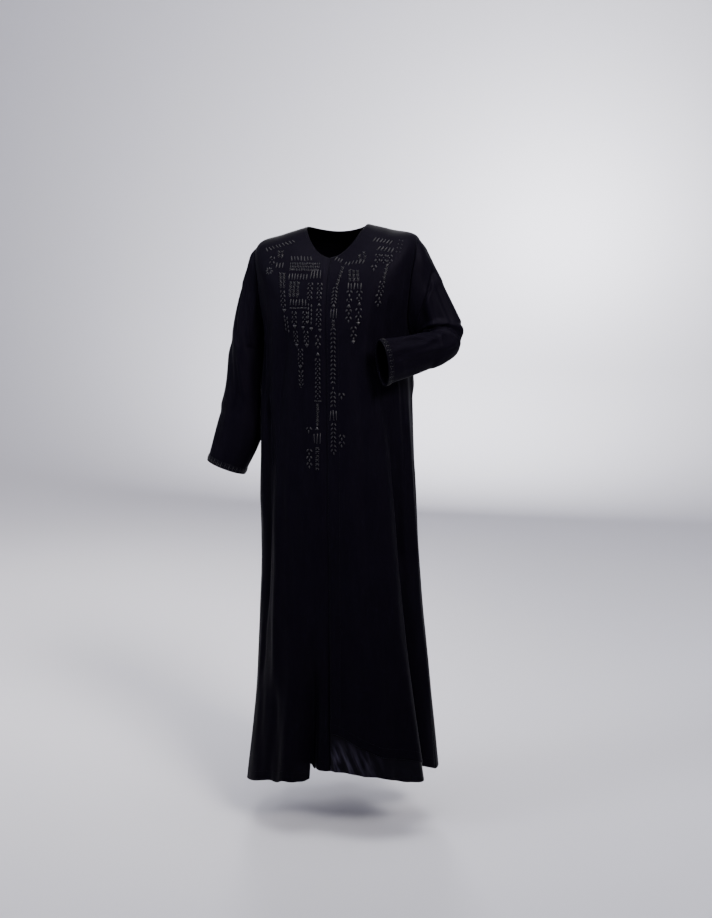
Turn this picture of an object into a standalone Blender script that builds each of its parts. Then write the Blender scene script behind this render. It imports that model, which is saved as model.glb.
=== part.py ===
"""Abaya: a full-length black robe that opens down the front, hollow and filled out as it is worn.

Metres, +Z up. The wearer faces -Y and the wearer's left is +X. The origin is between the high points of
the shoulders, where the robe hangs on its wearer. Every cloth piece is a wall of even thickness: a grid of
points on its outer face, and the same grid moved in along the face's own normals.

Cut: two fronts and a back in one A-line, two set-in wide sleeves, a trim band on each cuff, and a satin
lining under the left front that shows below its lifted hem. The left front laps over the right one.
"""

import math
from typing import NamedTuple

import bpy
import numpy as np

CLOTH = 0.002  # thickness of a cloth wall
SEAM_GAP = 0.0003  # space left between two pieces that are sewn together
LAP_STEP = CLOTH + 0.001  # how far the right front's edge drops in to pass under the left front
LAP_STEP_HEM = 0.007  # the same where the left front is lined
LAP_STEP_FROM = 1.00  # where it starts to change, and where it has changed
LAP_STEP_TO = 1.20
LAP_TURN = 0.014  # width over which it drops
LAP = 0.016  # how far the right front runs on under the left front
LEFT_EDGE_X = 0.002  # the left front's folded edge at the neck, and how far it drifts for each metre down
LEFT_EDGE_DRIFT = 0.009
SHOULDER_DOWN = 0.145  # where the shoulder seam ends and the armhole starts
UNDERARM_DOWN = 0.330
ARMHOLE_TURN = 17.0  # degrees from the side line to the armhole's edge, at its widest
SIDE = 90.0  # the side seam and shoulder seam, in degrees round from centre front

FRONT_COLUMNS = 22
FRONT_CROWDING = 1.35  # more than 1 brings the right front's columns closer at centre front
BACK_COLUMNS = 32
SHOULDER_ROWS = 5
SKIRT_ROWS = 12
SKIRT_END = 1.49
EDGE_FADE = 3  # more than 1 keeps a panel edge's wander close to that edge
SLEEVE_SIDES = 24  # points round a sleeve, and twice the rows down an armhole


class Ring(NamedTuple):
    """A ring round the body. Half sizes from its middle, and the height of its sides, front and back."""

    down: float
    right: float
    left: float
    front: float
    back: float
    side_z: float
    front_z: float
    back_z: float
    square: float  # 2 is an ellipse, more is squarer
    tilt: float  # rise to the wearer's left, for each metre across


BODY_RINGS = (
    #    down   right  left   front  back   side_z  front_z back_z  square tilt
    Ring(0.000, 0.078, 0.078, 0.080, 0.062, 0.000, -0.078, -0.016, 2.0, 0.05),
    Ring(0.070, 0.140, 0.136, 0.114, 0.104, -0.016, -0.112, -0.058, 2.1, 0.05),
    Ring(0.145, 0.206, 0.206, 0.134, 0.126, -0.040, -0.162, -0.114, 2.3, 0.05),
    Ring(0.225, 0.206, 0.206, 0.146, 0.132, -0.130, -0.222, -0.180, 2.3, 0.04),
    Ring(0.330, 0.188, 0.188, 0.150, 0.128, -0.270, -0.290, -0.280, 2.3, 0.02),
    Ring(0.480, 0.193, 0.192, 0.150, 0.128, -0.420, -0.420, -0.420, 2.3, 0.00),
    Ring(0.700, 0.197, 0.199, 0.156, 0.142, -0.640, -0.640, -0.640, 2.2, 0.00),
    Ring(1.000, 0.206, 0.214, 0.168, 0.172, -0.940, -0.940, -0.940, 2.1, 0.00),
    Ring(1.250, 0.220, 0.237, 0.184, 0.196, -1.190, -1.190, -1.190, 2.0, 0.00),
    Ring(1.500, 0.241, 0.261, 0.204, 0.216, -1.440, -1.440, -1.440, 2.0, 0.00),
)


class Fold(NamedTuple):
    """A long soft fold that runs down a piece: where it starts and ends, how wide and how deep."""

    start: float
    end: float
    turn_start: float  # degrees round the piece
    turn_end: float
    width_start: float  # degrees to each side
    width_end: float
    depth_start: float  # metres, minus for a trough
    depth_end: float


BODY_FOLDS = (
    #    start  end    turn0  turn1  wide0 wide1 depth0  depth1
    Fold(0.40, 1.55, 36.0, 64.0, 10.0, 8.0, 0.004, 0.024),  # left front's long ridge
    Fold(0.40, 1.55, 56.0, 78.0, 7.0, 7.0, -0.010, -0.034),  # left front's deep trough
    Fold(0.46, 1.55, 84.0, 98.0, 8.0, 9.0, 0.004, 0.014),  # ridge behind it, past the side seam
    Fold(0.20, 0.50, 33.0, 50.0, 6.0, 6.0, -0.007, -0.005),  # two tucks over the bent forearm
    Fold(0.22, 0.46, 46.0, 66.0, 6.0, 6.0, -0.006, -0.004),
    Fold(0.22, 1.12, -27.0, -60.0, 6.0, 7.0, -0.010, -0.004),  # trough beside the right front's ridge
    Fold(0.18, 0.85, -37.0, -72.0, 8.0, 8.0, 0.007, 0.004),  # right front's side ridge
    Fold(0.70, 1.62, 0.0, 0.0, 20.0, 24.0, 0.000, -0.054),  # both fronts fall inwards at centre front
    Fold(1.05, 1.56, -10.0, -15.0, 6.0, 5.5, -0.003, -0.056),  # sharp fold beside the right front's hem
    Fold(1.05, 1.56, -24.0, -26.0, 7.0, 7.0, 0.002, 0.014),
    Fold(1.20, 1.56, -39.0, -40.0, 7.0, 7.0, -0.002, -0.012),
    Fold(0.90, 1.56, -60.0, -62.0, 13.0, 13.0, 0.001, 0.012),
    Fold(0.36, 1.55, 118.0, 124.0, 7.0, 8.0, -0.006, -0.022),  # the back's folds, left to right
    Fold(0.30, 1.55, 141.0, 146.0, 9.0, 9.0, 0.004, 0.018),
    Fold(0.26, 1.55, 162.0, 164.0, 7.0, 8.0, -0.007, -0.024),
    Fold(0.40, 1.55, 182.0, 184.0, 9.0, 9.0, 0.003, 0.020),
    Fold(0.30, 1.55, 201.0, 205.0, 7.0, 8.0, -0.006, -0.020),
    Fold(0.34, 1.55, 224.0, 226.0, 9.0, 9.0, 0.004, 0.015),
    Fold(0.42, 1.55, 247.0, 246.0, 7.0, 8.0, -0.005, -0.018),
)
FOLD_FADE_IN = 0.25  # shares of a fold's length over which it starts, and over which it ends
FOLD_FADE_OUT = 0.15


class HemPoint(NamedTuple):
    """How far down a hem reaches at one place round it."""

    turn: float
    down: float


RIGHT_AND_BACK_HEM = (
    HemPoint(-270.0, 1.480),
    HemPoint(-240.0, 1.486),
    HemPoint(-180.0, 1.502),
    HemPoint(-90.0, 1.520),
    HemPoint(-58.0, 1.511),
    HemPoint(-40.0, 1.492),
    HemPoint(-28.0, 1.482),
    HemPoint(-15.0, 1.479),
    HemPoint(-9.5, 1.450),
    HemPoint(0.0, 1.453),
    HemPoint(12.0, 1.454),
)
LEFT_FRONT_HEM = (
    HemPoint(0.0, 1.352),
    HemPoint(8.0, 1.354),
    HemPoint(20.0, 1.374),
    HemPoint(36.0, 1.404),
    HemPoint(62.0, 1.428),
    HemPoint(78.0, 1.458),
    HemPoint(90.0, 1.480),
)
LINING_HEM = (
    HemPoint(0.0, 1.453),
    HemPoint(26.0, 1.456),
    HemPoint(53.0, 1.474),
    HemPoint(76.0, 1.481),
)
LINING = 0.001  # thickness of the satin
LINING_GAP = 0.0004  # to the front's inner face
LINING_ROWS_INSIDE = 3  # rows that it shares with the left front, and rows below the front's hem
LINING_ROWS_BELOW = 3
LINING_COLUMNS = 20


class ArmRing(NamedTuple):
    """A ring round a sleeve: the arm's middle there, and half sizes outwards and forwards."""

    along: float
    x: float
    y: float
    z: float
    out: float
    fore: float
    hang: float  # how far the cloth under it sags


RIGHT_ARM = (
    #       along  x       y       z       out    fore   hang
    ArmRing(0.00, -0.240, -0.006, -0.316, 0.040, 0.062, 0.0),
    ArmRing(0.12, -0.246, -0.012, -0.430, 0.047, 0.060, 0.0),
    ArmRing(0.22, -0.260, -0.020, -0.520, 0.057, 0.056, 0.0),
    ArmRing(0.34, -0.294, -0.030, -0.626, 0.052, 0.050, 0.0),
)
LEFT_ARM = (
    ArmRing(0.00, 0.268, 0.014, -0.262, 0.052, 0.052, 0.022),
    ArmRing(0.06, 0.272, -0.016, -0.298, 0.044, 0.042, 0.002),
    ArmRing(0.13, 0.232, -0.078, -0.307, 0.033, 0.046, 0.004),
    ArmRing(0.26, 0.152, -0.182, -0.326, 0.023, 0.055, 0.004),
)
SLEEVE_FOLDS = {
    -1: (
        #    start end   turn0 turn1  wide0 wide1 depth0  depth1
        Fold(0.02, 0.55, 40.0, 130.0, 20.0, 20.0, -0.007, -0.005),  # drag from the shoulder to the underarm
        Fold(0.15, 0.70, 25.0, 95.0, 20.0, 20.0, 0.002, 0.002),
        Fold(0.42, 0.80, 20.0, 90.0, 18.0, 18.0, -0.005, -0.004),  # drag across the elbow
        Fold(0.20, 0.95, 230.0, 260.0, 22.0, 22.0, -0.005, -0.004),
    ),
    1: (
        Fold(0.04, 0.50, 40.0, 75.0, 20.0, 20.0, -0.006, -0.005),  # drag from the shoulder to the elbow
        Fold(0.10, 0.50, 5.0, 20.0, 20.0, 20.0, 0.003, 0.004),
        Fold(0.10, 0.60, 250.0, 300.0, 22.0, 22.0, -0.006, -0.004),
        Fold(0.50, 0.90, 330.0, 345.0, 22.0, 22.0, -0.003, -0.004),  # along the forearm
    ),
}
RING_REACH = 0.04  # a ring faces along the arm's middle from this far before it to this far past it
RING_START_RISE = 0.4  # how far the first point of a sleeve's ring leans up, for each metre outwards
ARM_START_AHEAD = {-1: (-0.10, 0.0, -1.0), 1: (0.45, 0.05, -0.90)}  # the upper arm's way, by side
LEAVE_SLOPE = {-1: 72.0, 1: 69.0}  # degrees below level at which each sleeve leaves its armhole
LEAVE_TURN = 8.0  # how much less that is at the shoulder point, and more at the underarm
BODY_CLEARANCE = 0.006  # least space between a sleeve and the body's side
BODY_SEARCH_DOWN = 1.6  # how far down the body a level is looked for, and how often the range is halved
BODY_SEARCH_STEPS = 24
TRIM_WIDTH = 0.016
TRIM_CLOTH = 0.001


def column(rows, field):
    """One table column as a smooth curve over the table's first column."""
    place = np.array([row[0] for row in rows], float)
    value = np.array([getattr(row, field) for row in rows], float)
    step = np.diff(place)
    slope = np.diff(value) / step
    between = (slope[1:] * step[:-1] + slope[:-1] * step[1:]) / (step[1:] + step[:-1])
    at_row = np.concatenate(([slope[0]], between, [slope[-1]]))

    def curve(position):
        position = np.asarray(position, float)
        held = np.clip(position, place[0], place[-1])
        k = np.clip(np.searchsorted(place, held, side="right") - 1, 0, len(step) - 1)
        t = (held - place[k]) / step[k]
        rise = (2 * t**3 - 3 * t**2 + 1) * value[k] + (3 * t**2 - 2 * t**3) * value[k + 1]
        lean = (t**3 - 2 * t**2 + t) * at_row[k] + (t**3 - t**2) * at_row[k + 1]
        past = np.where(position > place[-1], (position - place[-1]) * at_row[-1], 0.0)
        return rise + lean * step[k] + past

    return curve


BODY = {field: column(BODY_RINGS, field) for field in Ring._fields[1:]}


def ease(t):
    """0 to 1 with soft ends."""
    t = np.clip(t, 0.0, 1.0)
    return t * t * (3 - 2 * t)


def folds_at(folds, turn, along):
    """How far out the folds move a face, at these places."""
    moved = np.zeros(np.broadcast(turn, along).shape)
    for fold in folds:
        share = (along - fold.start) / (fold.end - fold.start)
        centre = fold.turn_start + (fold.turn_end - fold.turn_start) * share
        width = fold.width_start + (fold.width_end - fold.width_start) * np.clip(share, 0, 1)
        depth = fold.depth_start + (fold.depth_end - fold.depth_start) * np.clip(share, 0, 1)
        away = (turn - centre + 180.0) % 360.0 - 180.0
        runs_out_at_hem = fold.end > SKIRT_END
        fade = ease(share / FOLD_FADE_IN) * ease((1.0 - share) / FOLD_FADE_OUT + runs_out_at_hem)
        moved = moved + depth * fade * np.exp(-((away / width) ** 2))
    return moved


def body_point(turn, down):
    """Outer face of the body, `turn` degrees from centre front to the wearer's left, `down` from the neck."""
    turn, down = np.broadcast_arrays(np.asarray(turn, float), np.asarray(down, float))
    size = {field: curve(down) for field, curve in BODY.items()}
    sine, cosine = np.sin(np.radians(turn)), np.cos(np.radians(turn))
    power = 2 / size["square"]
    half = np.where(sine > 0, size["left"], size["right"])
    deep = np.where(cosine > 0, size["front"], size["back"])
    x = half * np.sign(sine) * np.abs(sine) ** power
    y = -deep * np.sign(cosine) * np.abs(cosine) ** power
    front_share, back_share = np.maximum(cosine, 0) ** 2, np.maximum(-cosine, 0) ** 2
    z = (
        size["side_z"]
        + (size["front_z"] - size["side_z"]) * front_share
        + (size["back_z"] - size["side_z"]) * back_share
        + size["tilt"] * x
    )
    out = folds_at(BODY_FOLDS, turn, down)
    facing = np.stack([x / half**2, y / deep**2], -1)
    facing /= np.linalg.norm(facing, axis=-1, keepdims=True)
    return np.stack([x + out * facing[..., 0], y + out * facing[..., 1], z], -1)


def body_normal(turn, down):
    """Outward normal of the body's face."""
    turn_step, down_step = 1.5, 0.004
    round_it = body_point(turn + turn_step, down) - body_point(turn - turn_step, down)
    down_it = body_point(turn, down + down_step) - body_point(turn, np.maximum(down - down_step, 0))
    normal = np.cross(down_it, round_it)
    return normal / np.linalg.norm(normal, axis=-1, keepdims=True)


def grid_normal(points):
    """Outward normals of a tube's grid, whose rows run down it and whose columns run round it."""
    round_it = np.roll(points, -1, 1) - np.roll(points, 1, 1)
    normal = np.cross(np.gradient(points, axis=0), round_it)
    return normal / np.linalg.norm(normal, axis=-1, keepdims=True)


def black(name, colour, roughness):
    """A dyed cloth: a Principled material with no metal in it."""
    made = bpy.data.materials.new(name)
    made.use_nodes = True
    shader = made.node_tree.nodes["Principled BSDF"]
    shader.inputs["Base Color"].default_value = (*colour, 1.0)
    shader.inputs["Roughness"].default_value = roughness
    shader.inputs["Metallic"].default_value = 0.0
    return made


def wall(name, outer, normal, material, closed=False, thickness=CLOTH):
    """A closed cloth wall between the grid `outer` and the same grid moved in by the thickness.

    Both faces are cut into triangles along the same diagonals, so they stay level where the cloth twists.
    """
    rows, columns = outer.shape[:2]
    inner = outer - normal * thickness
    points = np.concatenate([outer.reshape(-1, 3), inner.reshape(-1, 3)])
    behind = rows * columns

    def at(row, col, inside=0):
        return row * columns + col % columns + inside * behind

    faces = []
    strips = columns if closed else columns - 1
    for row in range(rows - 1):
        for col in range(strips):
            high, low = (at(row, col), at(row, col + 1)), (at(row + 1, col), at(row + 1, col + 1))
            for face in ((high[0], low[0], low[1]), (high[0], low[1], high[1])):
                faces.append(face)
                faces.append(tuple(corner + behind for corner in reversed(face)))
    end, last = rows - 1, columns - 1
    for col in range(strips):
        faces.append((at(0, col), at(0, col + 1), at(0, col + 1, 1), at(0, col, 1)))
        faces.append((at(end, col + 1), at(end, col), at(end, col, 1), at(end, col + 1, 1)))
    for row in range(0 if closed else rows - 1):
        faces.append((at(row + 1, 0), at(row, 0), at(row, 0, 1), at(row + 1, 0, 1)))
        faces.append((at(row, last), at(row + 1, last), at(row + 1, last, 1), at(row, last, 1)))
    mesh = bpy.data.meshes.new(name)
    mesh.from_pydata([tuple(point) for point in points], [], faces)
    mesh.materials.append(material)
    mesh.shade_smooth()
    mesh.set_sharp_from_angle(angle=math.radians(50))
    made = bpy.data.objects.new(name, mesh)
    bpy.context.scene.collection.objects.link(made)
    return made


def body_rows():
    """How far down each row of a body panel lies, from the neck to the underarm."""
    middle, half = (SHOULDER_DOWN + UNDERARM_DOWN) / 2, (UNDERARM_DOWN - SHOULDER_DOWN) / 2
    shoulder = np.linspace(0.0, SHOULDER_DOWN, SHOULDER_ROWS + 1)[:-1]
    armhole = middle - half * np.cos(np.linspace(0.0, math.pi, SLEEVE_SIDES // 2 + 1))
    return np.concatenate([shoulder, armhole])


def armhole_turn(down):
    """Degrees from the side line to the armhole's edge, at this row."""
    middle, half = (SHOULDER_DOWN + UNDERARM_DOWN) / 2, (UNDERARM_DOWN - SHOULDER_DOWN) / 2
    return ARMHOLE_TURN * np.sqrt(np.clip(1 - ((down - middle) / half) ** 2, 0, 1))


def turn_for_gap(turn, down, gap):
    """The angle that moves a point by `gap` metres round the body."""
    speed = np.linalg.norm(body_point(turn + 0.5, down) - body_point(turn - 0.5, down), axis=-1)
    return gap / speed


def panel(first_turn, last_turn, columns, hem, crowding=1.0):
    """(turn, down) grids of a body panel between two edges, each a function of how far down it is.

    Where an edge leaves its place at the underarm, as round an armhole, the columns near it follow it most.
    """
    share = 1 - (1 - np.linspace(0.0, 1.0, columns + 1)) ** crowding
    first, last = first_turn(UNDERARM_DOWN), last_turn(UNDERARM_DOWN)
    rows = []

    def add_row(level, down_at):
        across = first + (last - first) * share
        across += (first_turn(level) - first) * (1 - share) ** EDGE_FADE
        across += (last_turn(level) - last) * share**EDGE_FADE
        rows.append((across, down_at(across)))

    for level in body_rows():
        add_row(level, lambda across: np.full_like(across, level))
    for part in np.linspace(0.0, 1.0, SKIRT_ROWS + 1)[1:]:
        level = UNDERARM_DOWN + (SKIRT_END - UNDERARM_DOWN) * part
        add_row(level, lambda across: UNDERARM_DOWN + (hem(across) - UNDERARM_DOWN) * part)
    turn, down = np.array(rows).transpose(1, 0, 2)
    return turn, down


def edge_turn(start_x):
    """A front's centre edge: the angle of its x, as a function of how far down it is."""

    def turn(down):
        share = (start_x + LEFT_EDGE_DRIFT * down) / BODY["left"](down)
        return math.degrees(math.asin(share ** (BODY["square"](down) / 2)))

    return turn


def side_edge(side, towards_front):
    """A panel's edge on the shoulder, armhole and side seam of the wearer's left (+1) or right (-1)."""

    def turn(down):
        back_off = armhole_turn(down) + turn_for_gap(side * SIDE, down, SEAM_GAP / 2)
        return side * SIDE - side * towards_front * back_off

    return turn


def lining(turn, down, satin):
    """The satin layer behind the left front: the front's own lowest points, and rows below its hem."""
    hem, end = down[-1], column(LINING_HEM, "down")(turn[-1])
    below = [hem + (end - hem) * share for share in np.linspace(0.0, 1.0, LINING_ROWS_BELOW + 1)[1:]]
    down = np.vstack([down, below])
    turn = np.vstack([turn] + [turn[-1]] * LINING_ROWS_BELOW)
    normal = body_normal(turn, down)
    face = body_point(turn, down) - normal * (CLOTH + LINING_GAP)
    wall("lining_left", face, normal, satin, thickness=LINING)


def fronts_and_back(cloth, satin):
    """The two fronts, the left one with its lining, and the back."""
    right_hem = column(RIGHT_AND_BACK_HEM, "down")
    left_hem = column(LEFT_FRONT_HEM, "down")

    right_edge = edge_turn(LEFT_EDGE_X + LAP)
    turn, down = panel(side_edge(-1, 1), right_edge, FRONT_COLUMNS, right_hem, FRONT_CROWDING)
    outer, normal = body_point(turn, down), body_normal(turn, down)
    lapped = outer[..., 0] - (LEFT_EDGE_X + LEFT_EDGE_DRIFT * down - LAP_TURN)
    lined = ease((down - LAP_STEP_FROM) / (LAP_STEP_TO - LAP_STEP_FROM))
    drop = ease(lapped / LAP_TURN) * (LAP_STEP + (LAP_STEP_HEM - LAP_STEP) * lined)
    wall("front_right", outer - normal * drop[..., None], normal, cloth)

    turn, down = panel(edge_turn(LEFT_EDGE_X), side_edge(1, 1), FRONT_COLUMNS, left_hem)
    wall("front_left", body_point(turn, down), body_normal(turn, down), cloth)
    lining(turn[-LINING_ROWS_INSIDE:, :LINING_COLUMNS], down[-LINING_ROWS_INSIDE:, :LINING_COLUMNS], satin)

    def back_hem(turn):
        return right_hem(turn - 360.0)

    turn, down = panel(side_edge(1, -1), lambda d: 360.0 + side_edge(-1, -1)(d), BACK_COLUMNS, back_hem)
    wall("back", body_point(turn, down), body_normal(turn, down), cloth)


def armhole_loop(side):
    """A sleeve's first ring, just inside the armhole's edge, from the shoulder point forwards."""
    around = np.linspace(0.0, 2 * math.pi, SLEEVE_SIDES, endpoint=False)
    middle, half = (SHOULDER_DOWN + UNDERARM_DOWN) / 2, (UNDERARM_DOWN - SHOULDER_DOWN) / 2
    inset = turn_for_gap(side * SIDE, middle, SEAM_GAP)
    down = middle - (half - SEAM_GAP) * np.cos(around)
    turn = side * (SIDE - (ARMHOLE_TURN - inset) * np.sin(around))
    return body_point(turn, down)


def arm_rings(side, arm, along):
    """Rings round the arm at these distances along it, each starting on its outer side and going forwards."""
    track = {field: column(arm, field) for field in ArmRing._fields[1:]}

    def middle(place):
        inside = np.array([track[axis](max(place, 0.0)) for axis in "xyz"])
        return inside + np.array(ARM_START_AHEAD[side]) * min(place, 0.0)

    out = np.array([side, 0.0, RING_START_RISE])
    around = np.linspace(0.0, 2 * math.pi, SLEEVE_SIDES, endpoint=False)[:, None]
    rings = []
    for place in along:
        ahead = middle(place + RING_REACH) - middle(place - RING_REACH)
        ahead /= np.linalg.norm(ahead)
        out = out - ahead * np.dot(out, ahead)
        out /= np.linalg.norm(out)
        fore = np.cross(ahead, out) * side
        size_out, size_fore = track["out"](place), track["fore"](place)
        ray = out * np.cos(around) * size_out + fore * np.sin(around) * size_fore
        under = np.maximum(-ray[:, 2:], 0.0) / max(size_out, size_fore)
        rings.append(middle(place) + ray - np.array([0.0, 0.0, 1.0]) * under**2 * track["hang"](place))
    return np.array(rings)


def place_on_body(points):
    """(turn, down) of the body's face level with each point."""
    low, high = np.zeros(points.shape[:-1]), np.full(points.shape[:-1], BODY_SEARCH_DOWN)
    for _ in range(BODY_SEARCH_STEPS):
        down = (low + high) / 2
        half = np.where(points[..., 0] > 0, BODY["left"](down), BODY["right"](down))
        deep = np.where(points[..., 1] < 0, BODY["front"](down), BODY["back"](down))
        across = np.clip(np.abs(points[..., 0]) / half, 1e-6, None) ** (BODY["square"](down) / 2)
        ahead = np.abs(points[..., 1] / deep) ** (BODY["square"](down) / 2)
        turn = np.degrees(np.arctan2(across * np.sign(points[..., 0]), -ahead * np.sign(points[..., 1])))
        above = body_point(turn, down)[..., 2] > points[..., 2]
        low, high = np.where(above, down, low), np.where(above, high, down)
    return turn, down


def keep_off_body(points, clearance):
    """Sleeve points, moved out level until they clear the body's face."""
    turn, down = place_on_body(points)
    skin = np.linalg.norm(body_point(turn, down)[..., :2], axis=-1)
    reach = np.linalg.norm(points[..., :2], axis=-1)
    short = np.maximum(skin + clearance - reach, 0.0)
    moved = points.copy()
    moved[..., :2] *= (1 + short / reach)[..., None]
    return moved


def sleeve(name, side, arm, lead_rings, rings, cloth):
    """A sleeve from its armhole to its cuff. Returns its outer grid and normals."""
    along = np.linspace(0.0, arm[-1].along, rings + 1)
    arm_part = arm_rings(side, arm, along)
    start = armhole_loop(side)
    around = np.linspace(0.0, 2 * math.pi, SLEEVE_SIDES, endpoint=False)
    slope = np.radians(LEAVE_SLOPE[side] - LEAVE_TURN * np.cos(around))
    reach = np.linalg.norm(arm_part[0] - start, axis=-1)[:, None]
    leave = np.stack([side * np.cos(slope), 0 * slope, -np.sin(slope)], -1) * reach
    arrive = np.array(ARM_START_AHEAD[side]) * reach
    lead = []
    for t in np.linspace(0.0, 1.0, lead_rings + 1)[:-1]:
        lead.append(
            (2 * t**3 - 3 * t**2 + 1) * start
            + (3 * t**2 - 2 * t**3) * arm_part[0]
            + (t**3 - 2 * t**2 + t) * leave
            + (t**3 - t**2) * arrive
        )
    outer = np.concatenate([np.array(lead), arm_part])
    outer[1:] = keep_off_body(outer[1:], BODY_CLEARANCE)
    turn = np.degrees(around)
    if side > 0:
        outer, turn = outer[:, ::-1], turn[::-1]
    share = np.linspace(0.0, 1.0, len(outer))[:, None]
    outer += grid_normal(outer) * folds_at(SLEEVE_FOLDS[side], turn, share)[..., None]
    normal = grid_normal(outer)
    wall(name, outer, normal, cloth, closed=True)
    return outer, normal


def cuff_trim(name, outer, normal, trim):
    """A narrow band round the sleeve's end, laid on its outer face."""
    step = np.linalg.norm(outer[-1] - outer[-2], axis=-1).mean()
    share = TRIM_WIDTH / step
    places = np.array([1 - share, 1 - share / 2, 1.0])[:, None, None]
    face = outer[-2] + (outer[-1] - outer[-2]) * places
    facing = normal[-2] + (normal[-1] - normal[-2]) * places
    wall(name, face + facing * (TRIM_CLOTH + SEAM_GAP), facing, trim, closed=True, thickness=TRIM_CLOTH)


def main():
    for old in list(bpy.data.objects):
        bpy.data.objects.remove(old)
    crepe = black("black_crepe", (0.010, 0.010, 0.013), 0.75)
    satin = black("black_satin_lining", (0.016, 0.016, 0.022), 0.35)
    trim = black("black_cuff_trim", (0.014, 0.014, 0.016), 0.45)
    fronts_and_back(crepe, satin)
    cuff_trim("cuff_trim_right", *sleeve("sleeve_right", -1, RIGHT_ARM, 8, 8, crepe), trim)
    cuff_trim("cuff_trim_left", *sleeve("sleeve_left", 1, LEFT_ARM, 7, 12, crepe), trim)


main()
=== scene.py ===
"""The look of a full-length black abaya: crepe panels, satin lining, beaded bands, filled out as worn."""

import math
from collections import namedtuple

import bmesh
import bpy
import numpy as np
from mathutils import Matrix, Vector


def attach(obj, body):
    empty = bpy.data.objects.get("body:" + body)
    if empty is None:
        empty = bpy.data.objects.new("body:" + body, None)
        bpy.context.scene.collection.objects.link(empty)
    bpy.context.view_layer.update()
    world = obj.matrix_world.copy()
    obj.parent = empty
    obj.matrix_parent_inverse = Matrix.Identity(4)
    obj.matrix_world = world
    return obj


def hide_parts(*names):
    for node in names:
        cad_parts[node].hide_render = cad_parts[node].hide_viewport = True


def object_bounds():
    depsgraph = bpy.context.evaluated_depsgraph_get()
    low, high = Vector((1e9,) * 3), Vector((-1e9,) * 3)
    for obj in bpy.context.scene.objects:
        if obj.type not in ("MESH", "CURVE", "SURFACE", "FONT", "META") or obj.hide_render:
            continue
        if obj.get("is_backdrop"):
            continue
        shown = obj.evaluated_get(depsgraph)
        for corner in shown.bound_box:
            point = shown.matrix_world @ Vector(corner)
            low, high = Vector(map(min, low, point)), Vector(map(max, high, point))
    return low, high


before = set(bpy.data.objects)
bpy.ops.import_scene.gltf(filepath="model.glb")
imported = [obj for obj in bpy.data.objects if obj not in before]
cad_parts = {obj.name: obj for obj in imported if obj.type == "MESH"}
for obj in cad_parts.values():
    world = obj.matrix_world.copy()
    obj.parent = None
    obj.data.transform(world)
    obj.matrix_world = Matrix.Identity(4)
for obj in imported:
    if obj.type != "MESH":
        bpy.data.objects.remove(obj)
cad_low, cad_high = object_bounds()

# ------------------------------------------------------------
# The studio. A pale seamless room that curves up from the floor all round, painted in matt emulsion. Two
# soft boxes with grids light the chest, a third hangs overhead and a strip stands behind the shoulders.
# Two more behind the robe light the wall.
FLOOR_Z = -1.58  # where the wearer's heels would stand
ROOM_RADIUS = 7.5
ROOM_CORNER = 3.5  # radius of the curve between floor and wall
ROOM_TOP = 6.0
ROOM_SIDES, CORNER_STEPS = 96, 24
ROOM_PAINT = "#d3d2da"
AIR_COLOUR, AIR_STRENGTH = "#e6e6ec", 0.63
CAMERA_AZIMUTH = 13.0
CAMERA_DISTANCE = 3.84  # from the upright line through the garment's origin
CAMERA_HEIGHT = 0.06
CAMERA_TURN_RIGHT = 0.69
CAMERA_TILT_DOWN = 9.76
CAMERA_LENS = 58.82

# A soft box: where it stands, the size of its face, its power in watts, the angle that its grid lets light
# spread over, its colour and the point that it faces.
Light = namedtuple("Light", "name x y z width height power spread colour aim")
CHEST = (0.0, 0.0, -0.05)
LIGHTS = (
    #     name         x     y     z     w    h    power  spread colour     aim
    Light("key",       2.0, -2.2,  2.0,  1.6, 1.8, 22.0,  31.0,  "#fffaf4", CHEST),
    Light("fill",     -2.5, -2.0,  1.5,  1.8, 1.8, 9.0,   31.0,  "#eef2ff", CHEST),
    Light("overhead",  0.2, -0.6,  2.6,  2.4, 1.8, 120.0, 180.0, "#ffffff", CHEST),
    Light("strip",    -0.8,  2.8,  1.4,  0.8, 2.2, 70.0,  180.0, "#ffffff", CHEST),
    Light("wall_wash", -0.5, 4.4,  0.2,  1.8, 1.4, 150.0, 180.0, "#ffffff", (-0.5, 7.4, -0.5)),
    Light("wall_spot", 0.05, 5.8,  0.4,  0.5, 0.5, 42.0,  180.0, "#ffffff", (0.1, 7.2, 0.5)),
)


def linear(hex_colour):
    """An sRGB hex colour as the linear values that a shader takes, with full alpha."""
    parts = [int(hex_colour[i : i + 2], 16) / 255 for i in (1, 3, 5)]
    return (*[c / 12.92 if c <= 0.04045 else ((c + 0.055) / 1.055) ** 2.4 for c in parts], 1.0)


def wire(node, **values):
    """Sets a node's properties and inputs, `_0` being its first input. A socket is joined to the input."""
    for name, value in values.items():
        if hasattr(node, name):
            setattr(node, name, value)
            continue
        socket = node.inputs[int(name[1:]) if name[1:].isdigit() else name.replace("_", " ")]
        if isinstance(value, bpy.types.NodeSocket):
            node.id_data.links.new(value, socket)
        else:
            socket.default_value = value


def add(tree, kind, out=0, **values):
    """Adds a node with its settings and links, a shader's if `kind` names no family. Returns one output."""
    node = tree.nodes.new(kind if "Node" in kind else "ShaderNode" + kind)
    wire(node, **values)
    return node.outputs[out] if node.outputs else None


def new_material(name):
    """An empty node material, with its tree and its Principled shader."""
    made = bpy.data.materials.new(name)
    made.use_nodes = True
    return made, made.node_tree, made.node_tree.nodes["Principled BSDF"]


def link_object(name, data):
    made = bpy.data.objects.new(name, data)
    bpy.context.scene.collection.objects.link(made)
    return made


# Matt emulsion on a smooth plastered cove: no gloss, and no texture that shows from where one stands.
room_paint, tree, shader = new_material("matt_emulsion")
wire(shader, Base_Color=linear(ROOM_PAINT), Roughness=0.95, Specular_IOR_Level=0.1)

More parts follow.
